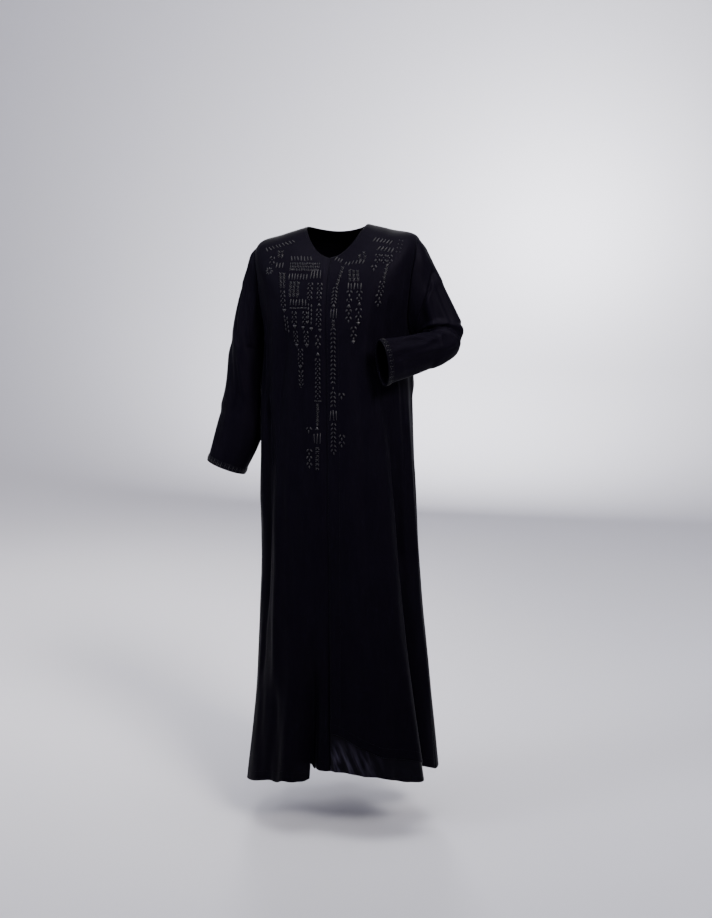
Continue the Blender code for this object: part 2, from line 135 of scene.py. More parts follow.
bend = np.linspace(0.0, math.pi / 2, CORNER_STEPS)
profile_r = np.concatenate([[0.0], ROOM_RADIUS - ROOM_CORNER + ROOM_CORNER * np.sin(bend), [ROOM_RADIUS]])
profile_z = FLOOR_Z + np.concatenate([[0.0], ROOM_CORNER * (1 - np.cos(bend)), [ROOM_TOP]])
spin = np.linspace(0.0, 2 * math.pi, ROOM_SIDES, endpoint=False)[:, None]
room_points = np.stack([profile_r * np.cos(spin), profile_r * np.sin(spin), profile_z + 0 * spin], -1)
at = np.arange(ROOM_SIDES * len(profile_r)).reshape(ROOM_SIDES, -1)
after = np.roll(at, -1, 0)
room_faces = np.stack([at[:, :-1], at[:, 1:], after[:, 1:], after[:, :-1]], -1).reshape(-1, 4)
room_mesh = bpy.data.meshes.new("studio_floor")
room_mesh.from_pydata(room_points.reshape(-1, 3).tolist(), [], room_faces.tolist())
room_mesh.materials.append(room_paint)
room_mesh.shade_smooth()
link_object("studio_floor", room_mesh)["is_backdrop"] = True

world = bpy.data.worlds.new("studio_air")
world.use_nodes = True
wire(world.node_tree.nodes["Background"], Color=linear(AIR_COLOUR), Strength=AIR_STRENGTH)
bpy.context.scene.world = world

for light in LIGHTS:
    lamp = bpy.data.lights.new(light.name, "AREA")
    lamp.shape = "RECTANGLE"
    lamp.size, lamp.size_y = light.width, light.height
    lamp.energy = light.power
    lamp.spread = math.radians(light.spread)
    lamp.color = linear(light.colour)[:3]
    placed = link_object(light.name, lamp)
    placed.location = (light.x, light.y, light.z)
    placed.rotation_euler = (Vector(light.aim) - placed.location).to_track_quat("-Z", "Y").to_euler()
    placed.visible_camera = False

camera = link_object("camera", bpy.data.cameras.new("camera"))
camera.data.lens = CAMERA_LENS
azimuth, tilt = math.radians(CAMERA_AZIMUTH), math.radians(90.0 - CAMERA_TILT_DOWN)
camera.location = (CAMERA_DISTANCE * math.sin(azimuth), -CAMERA_DISTANCE * math.cos(azimuth), CAMERA_HEIGHT)
camera.rotation_euler = (tilt, 0.0, math.radians(CAMERA_AZIMUTH - CAMERA_TURN_RIGHT))
bpy.context.scene.camera = camera

# ------------------------------------------------------------
# Two fronts and a back, cut in one A-line from black polyester crepe and sewn at shoulders and sides.
# They hang from the shoulders and fall in long folds; the left front laps over the right at the centre.
CLOTH = 0.002
SEAM_GAP = 0.0003
LAP_STEP = CLOTH + 0.001  # how far the right front drops in to pass under the left one
LAP_STEP_HEM = 0.007  # the same where the lining lies between them
LAP_STEP_FROM, LAP_STEP_TO = 1.00, 1.20
LAP_TURN, LAP = 0.014, 0.016
LEFT_EDGE_X, LEFT_EDGE_DRIFT = 0.002, 0.009  # the left front's edge at the neck, and its drift a metre
SHOULDER_DOWN, UNDERARM_DOWN = 0.145, 0.330
ARMHOLE_MIDDLE = (SHOULDER_DOWN + UNDERARM_DOWN) / 2
ARMHOLE_HALF = (UNDERARM_DOWN - SHOULDER_DOWN) / 2
ARMHOLE_TURN = 17.0  # degrees from the side line to the armhole's edge, at its widest
RIGHT, LEFT = -1, 1  # the wearer's
SIDE = 90.0
FRONT_COLUMNS, BACK_COLUMNS = 110, 160
FRONT_CROWDING = 1.35  # more than 1 brings the right front's columns closer at centre front
SHOULDER_ROWS, SKIRT_ROWS = 24, 168
SKIRT_END = 1.49
EDGE_FADE = 3  # more than 1 keeps a panel edge's wander close to that edge
SLEEVE_SIDES = 96
SEAM_ROLL, SEAM_ROLL_WIDTH = 0.0014, 0.005  # how far a sewn edge rolls in
SEAM_SHARES = np.array((0.003, 0.0065, 0.011))  # extra columns close to a sewn edge
RIM_ROUND = 0.4  # how far a rim stands out, as a share of the cloth
METRES_PER_DEGREE = 0.0035  # round the body

# Rings round the body: half sizes from its middle, the height of the sides, front and back, how square each
# is (2 is an ellipse), and its rise to the wearer's left for each metre across.
RING_SIZES = "right left front back side_z front_z back_z square tilt"
BODY_RINGS = (
    # down, right, left, front, back, side_z, front_z, back_z, square, tilt
    (0.000, 0.078, 0.078, 0.080, 0.062, 0.000, -0.078, -0.016, 2.0, 0.05),
    (0.070, 0.140, 0.136, 0.114, 0.104, -0.016, -0.112, -0.058, 2.1, 0.05),
    (0.145, 0.206, 0.206, 0.134, 0.126, -0.040, -0.162, -0.114, 2.3, 0.05),
    (0.225, 0.206, 0.206, 0.146, 0.132, -0.130, -0.222, -0.180, 2.3, 0.04),
    (0.330, 0.190, 0.188, 0.150, 0.128, -0.270, -0.290, -0.280, 2.3, 0.02),
    (0.480, 0.198, 0.192, 0.150, 0.128, -0.420, -0.420, -0.420, 2.3, 0.00),
    (0.700, 0.2015, 0.199, 0.156, 0.142, -0.640, -0.640, -0.640, 2.2, 0.00),
    (1.000, 0.206, 0.214, 0.168, 0.172, -0.940, -0.940, -0.940, 2.1, 0.00),
    (1.250, 0.217, 0.237, 0.184, 0.196, -1.190, -1.190, -1.190, 2.0, 0.00),
    (1.500, 0.241, 0.261, 0.204, 0.216, -1.440, -1.440, -1.440, 2.0, 0.00),
)

# Folds that run down a piece: each one's start and end along it, then, at its start and its end, its place
# round the piece and its width in degrees, and its height in millimetres.
BODY_FOLDS = (
    # start, end, turns, widths, heights
    (0.40, 1.55, 36, 64, 10, 8, 4, 24),
    (0.40, 1.55, 56, 78, 7, 7, -10, -34),
    (0.46, 1.55, 84, 98, 8, 9, 4, 10),
    (0.20, 0.50, 33, 50, 6, 6, -7, -5),
    (0.22, 0.46, 46, 66, 6, 6, -6, -4),
    (0.22, 1.12, -27, -60, 6, 7, -10, -4),
    (0.18, 0.85, -37, -72, 8, 8, 7, 4),
    (0.70, 1.62, 0, 0, 20, 24, 0, -54),
    (1.05, 1.56, -10, -15, 6, 5.5, -3, -56),
    (1.05, 1.56, -24, -26, 7, 7, 2, 14),
    (1.20, 1.56, -39, -40, 7, 7, -2, -12),
    (0.90, 1.56, -60, -62, 13, 13, 1, 12),
    (0.36, 1.55, 118, 124, 7, 8, -6, -22),
    (0.30, 1.55, 141, 146, 9, 9, 4, 18),
    (0.26, 1.55, 162, 164, 7, 8, -7, -24),
    (0.40, 1.55, 182, 184, 9, 9, 3, 20),
    (0.30, 1.55, 201, 205, 7, 8, -6, -20),
    (0.34, 1.55, 224, 226, 9, 9, 4, 15),
    (0.42, 1.55, 247, 246, 7, 8, -5, -18),
)
BODY_CREASES = (
    (0.26, 0.96, 34, 72, 4.4, 4.4, -8, -10),
    (0.62, 1.52, 66, 79, 4, 4, -9, -12),
    (0.42, 1.40, 76, 88, 3.4, 3.6, 7, 7),
    (0.24, 0.58, -80, -48, 4.4, 4.4, -6, -5),
    (0.30, 1.30, -50, -57, 3.8, 4.2, -10, -7),
    (0.28, 1.30, -41, -39, 3.6, 4.2, 6, 5),
    (0.24, 0.95, 22, 30, 3, 4, -2.4, -1.6),
    (0.30, 1.20, 14, 12, 4, 5, 1.2, 2.2),
    (0.52, 1.40, 8, 16, 3, 4, -1.2, -2.6),
    (0.24, 0.50, 97, 101, 10, 10, 5, 5),
    (0.34, 0.88, 58, 74, 2.6, 3, 3, 1.6),
    (0.42, 1.10, 66, 80, 2.4, 3, -3, -2),
    (0.62, 1.52, 26, 34, 4, 4, -1.4, -4),
    (0.80, 1.52, 44, 47, 3, 3.5, -1.2, -3.4),
    (0.26, 0.80, -12, -16, 4, 5, -1.2, -1.6),
    (0.34, 0.96, -20, -30, 3, 3.4, 1.8, 1.4),
    (0.40, 1.02, -47, -66, 3, 3.4, -2.8, -1.4),
    (0.62, 1.30, -34, -44, 3, 4, 1.4, 2.4),
    (0.86, 1.52, -50, -52, 4, 5, -1, -1.8),
    (0.70, 1.52, -76, -80, 5, 6, -1.2, -2.6),
    (1.16, 1.52, -32, -33, 3.4, 4.2, -0.6, -1.4),
    (0.34, 0.76, 108, 112, 3.4, 3.4, 2.6, 1.6),
    (0.50, 1.36, 131, 134, 3, 4, -1.8, -3),
    (0.24, 0.70, 152, 154, 3, 3.6, 2.4, 1.6),
    (0.72, 1.52, 172, 173, 3.4, 4, -1.6, -3.8),
    (0.44, 1.10, 192, 195, 3, 3.4, -2, -2.4),
    (0.28, 0.84, 212, 215, 3, 3.6, 2.6, 1.6),
    (0.58, 1.52, 236, 237, 3.4, 4, -1.8, -3.6),
    (0.40, 1.04, 256, 262, 3, 3.6, 2.6, 1.8),
)
FOLD_FADE_IN, FOLD_FADE_OUT = 0.25, 0.15  # shares of a fold's length

# How far down each hem reaches, at places round it in degrees from centre front.
RIGHT_AND_BACK_HEM = (
    (-270, 1.484), (-240, 1.490), (-180, 1.502), (-90, 1.520), (-58, 1.512), (-42, 1.496), (-34, 1.493),
    (-27, 1.481), (-20.5, 1.487), (-17, 1.491), (-15.9, 1.486), (-15.1, 1.443), (-14.3, 1.455),
    (-10, 1.454), (0, 1.454), (12, 1.456),
)
LEFT_FRONT_HEM = (
    (0, 1.352), (8, 1.354), (20, 1.374), (36, 1.404), (62, 1.428), (77, 1.464), (82, 1.471), (90, 1.484),
)
SLACK_WAVES = 16  # slow waves in the loose cloth, none of them alike
SLACK_HEIGHT = 0.00045
SLACK_WIDE, SLACK_LONG = (0.022, 0.070), (0.16, 0.60)  # the least and the most of a wave
SLACK_FROM, SLACK_OVER = 0.16, 0.3  # down from the neck
BODY_SLACK_SEED = 3


def between(start, end, share):
    return start + (end - start) * share


def hermite(t, start, end, leave, arrive):
    """A smooth way from start to end, with these slopes at its ends."""
    rise = (2 * t**3 - 3 * t**2 + 1) * start + (3 * t**2 - 2 * t**3) * end
    return rise + (t**3 - 2 * t**2 + t) * leave + (t**3 - t**2) * arrive


def smooth(place, value):
    """A smooth curve through values at rising places."""
    place, value = np.array(place, float), np.array(value, float)
    step = np.diff(place)
    slope = np.diff(value) / step
    inner = (slope[1:] * step[:-1] + slope[:-1] * step[1:]) / (step[1:] + step[:-1])
    at_row = np.concatenate(([slope[0]], inner, [slope[-1]]))

    def curve(position):
        position = np.asarray(position, float)
        held = np.clip(position, place[0], place[-1])
        k = np.clip(np.searchsorted(place, held, side="right") - 1, 0, len(step) - 1)
        t = (held - place[k]) / step[k]
        past = np.where(position > place[-1], (position - place[-1]) * at_row[-1], 0.0)
        return hermite(t, value[k], value[k + 1], at_row[k] * step[k], at_row[k + 1] * step[k]) + past

    return curve


def columns_of(names, rows):
    """Each named column of a table as a smooth curve over its first column."""
    place, *columns = zip(*rows)
    return {name: smooth(place, values) for name, values in zip(names.split(), columns)}


BODY = columns_of(RING_SIZES, BODY_RINGS)


def ease(t):
    """0 to 1 with soft ends."""
    t = np.clip(t, 0.0, 1.0)
    return t * t * (3 - 2 * t)


def unit(vectors):
    return vectors / np.linalg.norm(vectors, axis=-1, keepdims=True)


def folds_at(folds, turn, along):
    """How far out the folds move a face, in metres, at these places."""
    moved = np.zeros(np.broadcast(turn, along).shape)
    for start, end, turn0, turn1, width0, width1, height0, height1 in folds:
        share = (along - start) / (end - start)
        held = np.clip(share, 0, 1)
        away = (turn - between(turn0, turn1, share) + 180.0) % 360.0 - 180.0
        runs_out_at_hem = end > SKIRT_END
        fade = ease(share / FOLD_FADE_IN) * ease((1.0 - share) / FOLD_FADE_OUT + runs_out_at_hem)
        bell = np.exp(-((away / between(width0, width1, held)) ** 2))
        moved = moved + between(height0, height1, held) / 1000 * fade * bell
    return moved


def slack(across, along, seed):
    """Small uneven waves of loose cloth, in metres out, at places given in metres across and along it."""
    pick = np.random.default_rng(seed)
    out = np.zeros(np.broadcast(across, along).shape)
    for _ in range(SLACK_WAVES):
        wide, long = pick.uniform(*SLACK_WIDE), pick.uniform(*SLACK_LONG)
        lean, phase = pick.choice([-1.0, 1.0]), pick.uniform(0.0, 2 * math.pi)
        out = out + np.sin(2 * math.pi * (across / wide + lean * along / long) + phase)
    return out * SLACK_HEIGHT / math.sqrt(SLACK_WAVES / 2)


def robe_point(turn, down, creased=True):
    """The robe's face, `turn` degrees from centre front to the wearer's left and `down` from the neck."""
    turn, down = np.broadcast_arrays(np.asarray(turn, float), np.asarray(down, float))
    size = {field: curve(down) for field, curve in BODY.items()}
    sine, cosine = np.sin(np.radians(turn)), np.cos(np.radians(turn))
    power = 2 / size["square"]
    half = np.where(sine > 0, size["left"], size["right"])
    deep = np.where(cosine > 0, size["front"], size["back"])
    x = half * np.sign(sine) * np.abs(sine) ** power
    y = -deep * np.sign(cosine) * np.abs(cosine) ** power
    front_share, back_share = np.maximum(cosine, 0) ** 2, np.maximum(-cosine, 0) ** 2
    z = size["side_z"] + (size["front_z"] - size["side_z"]) * front_share
    z = z + (size["back_z"] - size["side_z"]) * back_share + size["tilt"] * x
    out = folds_at(BODY_FOLDS, turn, down)
    if creased:
        out = out + folds_at(BODY_CREASES, turn, down)
        loose = slack((turn % 360) * METRES_PER_DEGREE, down, BODY_SLACK_SEED)
        out = out + loose * ease((down - SLACK_FROM) / SLACK_OVER)
    facing = unit(np.stack([x / half**2, y / deep**2], -1))
    return np.stack([x + out * facing[..., 0], y + out * facing[..., 1], z], -1)


def robe_facing(turn, down):
    """Outward normal of the robe's face."""
    turn_step, down_step = 0.8, 0.003
    round_it = robe_point(turn + turn_step, down) - robe_point(turn - turn_step, down)
    down_it = robe_point(turn, down + down_step) - robe_point(turn, np.maximum(down - down_step, 0))
    return unit(np.cross(down_it, round_it))


def finished_piece(name, mesh):
    """A smooth mesh as a piece of the garment."""
    mesh.shade_smooth()
    made = link_object(name, mesh)
    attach(made, "root")
    return made


def cloth_wall(name, outer, facing, cut, material, closed=False, thickness=CLOTH):
    """A piece of cloth: the grid `outer`, the same grid a thickness inside it, and a rounded rim.

    `cut` gives each point's place on the flat cloth in metres, across and along, as the UV map "cut".
    """
    rows, columns = outer.shape[:2]
    size = rows * columns
    index = np.arange(size).reshape(rows, columns)
    left, right = (index, np.roll(index, -1, 1)) if closed else (index[:, :-1], index[:, 1:])
    quads = np.stack([left[:-1], left[1:], right[1:], right[:-1]], -1).reshape(-1, 4)
    points = [outer.reshape(-1, 3), (outer - facing * thickness).reshape(-1, 3)]
    faces = [quads, quads[:, ::-1] + size]
    if closed:
        loops = [(index[0], outer[0] - outer[1]), (index[-1][::-1], (outer[-1] - outer[-2])[::-1])]
    else:
        ring = [index[0, :-1], index[:-1, -1], index[-1, :0:-1], index[:0:-1, 0]]
        top, end = (outer[0] - outer[1])[:-1], (outer[:, -1] - outer[:, -2])[:-1]
        hem, start = (outer[-1] - outer[-2])[:0:-1], (outer[:, 0] - outer[:, 1])[:0:-1]
        loops = [(np.concatenate(ring), np.concatenate([top, end, hem, start]))]
    first = 2 * size
    for loop, away in loops:
        here = first + np.arange(len(loop))
        onward, here_onward = np.roll(loop, -1), np.roll(here, -1)
        faces.append(np.stack([loop, onward, here_onward, here], -1))
        faces.append(np.stack([here, here_onward, onward + size, loop + size], -1))
        points.append((points[0][loop] + points[1][loop]) / 2 + unit(away) * thickness * RIM_ROUND)
        first += len(loop)
    flat = cut.reshape(-1, 2)
    uv = np.concatenate([flat, flat] + [flat[loop] for loop, _ in loops])
    faces = np.concatenate(faces)
    mesh = bpy.data.meshes.new(name)
    mesh.from_pydata(np.concatenate(points).tolist(), [], faces.tolist())
    corner_uv = uv[faces]
    if closed:
        round_it = cut[0, :, 0].max() + cut[0, 1, 0] - cut[0, 0, 0]
        behind = corner_uv[..., :1].max(1, keepdims=True) - corner_uv[..., :1] > round_it / 2
        corner_uv = corner_uv + np.concatenate([behind * round_it, 0 * behind], -1)
    mesh.uv_layers.new(name="cut").data.foreach_set("uv", corner_uv.reshape(-1).astype(np.float32))
    mesh.materials.append(material)
    return finished_piece(name, mesh)


def armhole_depth(down):
    """Degrees from the side line to the armhole's edge, at this row."""
    return ARMHOLE_TURN * np.sqrt(np.clip(1 - ((down - ARMHOLE_MIDDLE) / ARMHOLE_HALF) ** 2, 0, 1))


def turn_for_gap(turn, down, gap):
    """The angle that moves a point by `gap` metres round the robe."""
    return gap / np.linalg.norm(robe_point(turn + 0.5, down) - robe_point(turn - 0.5, down), axis=-1)


def cut_panel(first_turn, last_turn, shares, hem):
    """(turn, down) grids of a panel between two edges, each a function of how far down it is."""
    first, last = first_turn(UNDERARM_DOWN), last_turn(UNDERARM_DOWN)

    def across_at(level):
        across = between(first, last, shares)
        across += (first_turn(level) - first) * (1 - shares) ** EDGE_FADE
        return across + (last_turn(level) - last) * shares**EDGE_FADE

    shoulder = np.linspace(0.0, SHOULDER_DOWN, SHOULDER_ROWS + 1)[:-1]
    armhole = ARMHOLE_MIDDLE - ARMHOLE_HALF * np.cos(np.linspace(0.0, math.pi, SLEEVE_SIDES // 2 + 1))
    rows = [(across_at(level), np.full_like(shares, level)) for level in (*shoulder, *armhole)]
    for part in np.linspace(0.0, 1.0, SKIRT_ROWS + 1)[1:]:
        across = across_at(between(UNDERARM_DOWN, SKIRT_END, part))
        rows.append((across, between(UNDERARM_DOWN, hem(across), part)))
    return np.array(rows).transpose(1, 0, 2)


def turn_of(x, down):
    """The angle round the fronts of a point this far to the wearer's left of centre front."""
    half = np.where(x > 0, BODY["left"](down), BODY["right"](down))
    share = np.clip(np.abs(x) / half, 0.0, 0.999)
    return np.sign(x) * np.degrees(np.arcsin(share ** (BODY["square"](down) / 2)))


def centre_edge(start_x):
    """A front's centre edge: its angle, as a function of how far down it is."""
    return lambda down: turn_of(start_x + LEFT_EDGE_DRIFT * down, down)


def side_edge(side, forwards):
    """A sewn edge at one side's shoulder, armhole and side seam, of a front (1) or of the back (-1)."""

    def turn(down):
        back_off = armhole_depth(down) + turn_for_gap(side * SIDE, down, SEAM_GAP / 2)
        return side * (SIDE - forwards * back_off)

    return turn


def run_length(points):
    """How far along its lines each point of a grid or of one line lies, from the first row on."""
    step = np.linalg.norm(np.diff(points, axis=0), axis=-1)
    return np.concatenate([0 * step[:1], np.cumsum(step, axis=0)])


def seam_roll(far):
    """How far the face rolls in, this far from a pressed seam."""
    return SEAM_ROLL * np.clip(1 - far / SEAM_ROLL_WIDTH, 0, 1) ** 2


def lap_drop(x, down):
    """How far the right front drops in to pass under the left one."""
    lapped = x - (LEFT_EDGE_X + LEFT_EDGE_DRIFT * down - LAP_TURN)
    lined = ease((down - LAP_STEP_FROM) / (LAP_STEP_TO - LAP_STEP_FROM))
    return ease(lapped / LAP_TURN) * between(LAP_STEP, LAP_STEP_HEM, lined)


def no_drop(x, down):
    return 0 * down


def flat_place(turn, down):
    return np.stack([turn * METRES_PER_DEGREE, down], -1)


# Black polyester crepe: highly twisted yarn, piece-dyed, so the face is matt and finely pebbled, with a
# faint violet cast where it catches light. The pebble is drawn at 3 mm, where the real one is 0.5 mm.
CREPE_BLACK, CREPE_LIFTED, CREPE_SHEEN = "#030206", "#06050a", "#cdc4e2"
PEBBLE = 0.003
RUMPLE, RUMPLE_SQUASH = 0.030, 0.35  # the cloth's unevenness, drawn out down the cloth
crepe, tree, shader = new_material("black_crepe")
place = add(tree, "TexCoord", "UV")
pebble = add(tree, "TexNoise", Scale=1 / PEBBLE, Detail=2.0, Vector=place)
squashed = add(tree, "Mapping", Scale=(1.0, RUMPLE_SQUASH, 1.0), Vector=place)
rumple = add(tree, "TexNoise", Scale=1 / RUMPLE, Detail=3.0, Vector=squashed)
black, lifted, sheen = linear(CREPE_BLACK), linear(CREPE_LIFTED), linear(CREPE_SHEEN)
tint = add(tree, "Mix", 2, data_type="RGBA", Factor=rumple, _6=black, _7=lifted)
rough = add(tree, "MapRange", To_Min=0.46, To_Max=0.64, Value=pebble)
bump = add(tree, "Bump", Strength=0.5, Distance=0.0016, Height=rumple)
bump = add(tree, "Bump", Strength=0.35, Distance=0.0003, Height=pebble, Normal=bump)
wire(shader, Base_Color=tint, Roughness=rough, Normal=bump, Specular_IOR_Level=0.026)
wire(shader, Specular_Tint=sheen, Sheen_Weight=0.006, Sheen_Roughness=0.45, Sheen_Tint=sheen)


def crepe_panel(name, turn, down, sewn_first, sewn_last, drop=no_drop):
    """A panel on the robe's face, with its sewn edges rolled in as a pressed seam's are."""
    outer, facing = robe_point(turn, down), robe_facing(turn, down)
    outer = outer - facing * drop(outer[..., 0], down)[..., None]
    from_first = run_length(outer.swapaxes(0, 1)).T
    roll = sewn_first * seam_roll(from_first) + sewn_last * seam_roll(from_first[:, -1:] - from_first)
    outer = outer - facing * roll[..., None]
    return cloth_wall(name, outer, facing, flat_place(turn, down), crepe)


def back_end(down):
    """The back's last edge, at the wearer's right side, a whole turn on."""
    return 360.0 + side_edge(RIGHT, -1)(down)


def back_hem(turn):
    return right_hem(turn - 360.0)


right_hem, left_hem = smooth(*zip(*RIGHT_AND_BACK_HEM)), smooth(*zip(*LEFT_FRONT_HEM))
even = np.linspace(0.0, 1.0, FRONT_COLUMNS + 1)

shares = np.sort(np.concatenate([SEAM_SHARES, 1 - (1 - even) ** FRONT_CROWDING]))
turn, down = cut_panel(side_edge(RIGHT, 1), centre_edge(LEFT_EDGE_X + LAP), shares, right_hem)
front_right = crepe_panel("crepe_front_right", turn, down, True, False, lap_drop)
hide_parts("front_right")

shares = np.sort(np.concatenate([even, 1 - SEAM_SHARES]))
left_turn, left_down = cut_panel(centre_edge(LEFT_EDGE_X), side_edge(LEFT, 1), shares, left_hem)
front_left = crepe_panel("crepe_front_left", left_turn, left_down, False, True)
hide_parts("front_left")

shares = np.sort(np.concatenate([SEAM_SHARES, 1 - SEAM_SHARES, np.linspace(0.0, 1.0, BACK_COLUMNS + 1)]))
turn, down = cut_panel(side_edge(LEFT, -1), back_end, shares, back_hem)
back = crepe_panel("crepe_back", turn, down, True, True)
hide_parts("back")

# ------------------------------------------------------------
# The lining of the left front, black satin, tacked inside it and let down below its lifted hem. It hangs
# limp from the tacking, so its free edge is crossed by slanting creases that take the light.
LINING = 0.001
LINING_GAP = 0.0004
LINING_SHARE_INSIDE = 2 / 12  # of the skirt's length, from its hem up
LINING_WIDTH_SHARE = 19 / 22
LINING_ROWS = 60
LINING_HEM = (
    (0, 1.453), (26, 1.456), (41, 1.466), (52, 1.478), (60, 1.481), (76, 1.479),
)
LINING_CREASES = (
    (1.34, 1.60, 3, 12, 1.3, 2.6, 1, 5),
    (1.34, 1.60, 9, 19, 1.5, 2.4, -1, -4),
    (1.36, 1.60, 22, 30, 1.4, 2.8, 1, 5),
    (1.36, 1.60, 31, 37, 1.6, 2.4, -1, -3.6),
    (1.38, 1.60, 41, 47, 1.5, 2.6, 1, 4.4),
    (1.40, 1.60, 54, 58, 2, 3, -1, -5),
)
CREASES_FROM, CREASES_OVER = 0.004, 0.03  # below the front's hem, where the creases set in

# Satin: filament yarns floated over the face, so it is smooth and glossy along the yarns. Close to the
# opening and the hem, slanting streaks of its colour are painted paler: a painted sheen for the light that
# its creases catch there.
SATIN_BLACK, SATIN_PAINTED_SHEEN = "#050409", "#393646"
FLOAT_PITCH, FLOAT_LENGTH = 0.0022, 0.025  # the yarns are drawn ten times too coarse, so that they show
SHEEN_SLANT = 20.0
SHEEN_STREAK_WIDTH, SHEEN_STREAK_LENGTH = 0.012, 0.090
SHEEN_REACH, SHEEN_WHOLE = 0.135, 0.02  # from the opening: where the painted sheen ends, and where it is at its most
SHEEN_FROM, SHEEN_FULL = 1.365, 1.425  # down from the neck
satin, tree, shader = new_material("black_satin")
place = add(tree, "TexCoord", "UV")
stretched = add(tree, "Mapping", Scale=(1 / FLOAT_PITCH, 1 / FLOAT_LENGTH, 1.0), Vector=place)
floats = add(tree, "TexNoise", Scale=1.0, Detail=1.0, Vector=stretched)
bump = add(tree, "Bump", Strength=0.2, Distance=0.0002, Height=floats)
gloss = add(tree, "MapRange", To_Min=0.26, To_Max=0.38, Value=floats)
# Painted sheen: slanting streaks near the opening and the hem where the satin's colour is lifted, standing
# for light caught on its creases.
slanted = add(tree, "Mapping", Rotation=(0.0, 0.0, math.radians(SHEEN_SLANT)), Vector=place)
drawn_out = add(tree, "Mapping", Scale=(1 / SHEEN_STREAK_WIDTH, 1 / SHEEN_STREAK_LENGTH, 1.0), Vector=slanted)
sheen_streaks = add(tree, "TexNoise", Scale=1.0, Detail=3.0, Vector=drawn_out)
painted_sheen = add(tree, "MapRange", From_Min=0.44, From_Max=0.78, Value=sheen_streaks)
across = add(tree, "SeparateXYZ", "X", Vector=place)
along = across.node.outputs["Y"]
near_opening = add(tree, "MapRange", From_Min=SHEEN_REACH, From_Max=SHEEN_WHOLE, Value=across)
near_hem = add(tree, "MapRange", From_Min=SHEEN_FROM, From_Max=SHEEN_FULL, Value=along)
for limit in (near_opening, near_hem):
    painted_sheen = add(tree, "Math", operation="MULTIPLY", _0=painted_sheen, _1=limit)
black, pale = linear(SATIN_BLACK), linear(SATIN_PAINTED_SHEEN)
tint = add(tree, "Mix", 2, data_type="RGBA", Factor=painted_sheen, _6=black, _7=pale)
wire(shader, Base_Color=tint, Roughness=gloss, Normal=bump)
wire(shader, Specular_IOR_Level=0.035, Sheen_Weight=0.004, Sheen_Roughness=0.3)

columns = round(FRONT_COLUMNS * LINING_WIDTH_SHARE) + 1
inside_rows = round(SKIRT_ROWS * LINING_SHARE_INSIDE)
inside_turn, inside_down = left_turn[-inside_rows:, :columns], left_down[-inside_rows:, :columns]
hem_turn, hem_down = inside_turn[-1], inside_down[-1]
end_down = smooth(*zip(*LINING_HEM))(hem_turn)
below = np.linspace(0.0, 1.0, LINING_ROWS + 1)[1:, None]
turn = np.vstack([inside_turn, np.tile(hem_turn, (LINING_ROWS, 1))])
down = np.vstack([inside_down, between(hem_down, end_down, below)])
facing = robe_facing(turn, down)
creases = folds_at(LINING_CREASES, turn, down) * ease((down - hem_down - CREASES_FROM) / CREASES_OVER)
outer = robe_point(turn, down) + facing * (creases - CLOTH - LINING_GAP)[..., None]
cut = flat_place(turn, down)
lining = cloth_wall("satin_lining_left", outer, facing, cut, satin, thickness=LINING)
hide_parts("lining_left")

# ------------------------------------------------------------
# Two wide sleeves in the same crepe, set into the armholes with their seams pressed towards the sleeve.
# The right arm hangs down and the left is bent across the front, so each has its own drag lines.

# Rings round a sleeve: how far along the arm each is, the arm's middle there, half sizes outwards and
# forwards, and how far the lower side hangs.
ARM_SIZES = "x y z out fore hang"
ARMS = {
    RIGHT: (
        # along, x, y, z, out, fore, hang
        (0.00, -0.236, -0.006, -0.316, 0.045, 0.062, 0.0),
        (0.12, -0.245, -0.012, -0.430, 0.048, 0.060, 0.0),
        (0.22, -0.2575, -0.020, -0.520, 0.0605, 0.056, 0.0),
        (0.34, -0.294, -0.030, -0.626, 0.052, 0.050, 0.0),
    ),
    LEFT: (
        (0.00, 0.255, 0.014, -0.262, 0.063, 0.052, 0.026),
        (0.06, 0.263, -0.016, -0.298, 0.050, 0.042, 0.002),
        (0.13, 0.232, -0.078, -0.307, 0.033, 0.046, 0.004),
        (0.26, 0.152, -0.182, -0.326, 0.023, 0.055, 0.004),
    ),
}
SLEEVE_FOLDS = {
    RIGHT: (
        (0.02, 0.55, 40, 130, 20, 20, -7, -5),
        (0.15, 0.70, 25, 95, 20, 20, 2, 2),
        (0.42, 0.80, 20, 90, 18, 18, -5, -4),
        (0.20, 0.95, 230, 260, 22, 22, -5, -4),
        (0.00, 0.22, 5, 5, 50, 50, 10, 2),
        (0.46, 0.78, 5, 5, 40, 40, 6, 6),
    ),
    LEFT: (
        (0.04, 0.50, 40, 75, 20, 20, -6, -5),
        (0.10, 0.50, 5, 20, 20, 20, 3, 4),
        (0.10, 0.60, 250, 300, 22, 22, -6, -4),
        (0.50, 0.90, 330, 345, 22, 22, -3, -4),
        (0.00, 0.22, 0, 0, 50, 50, 6, 2),
        (0.44, 0.66, 314, 306, 24, 24, 7, 5),
    ),
}
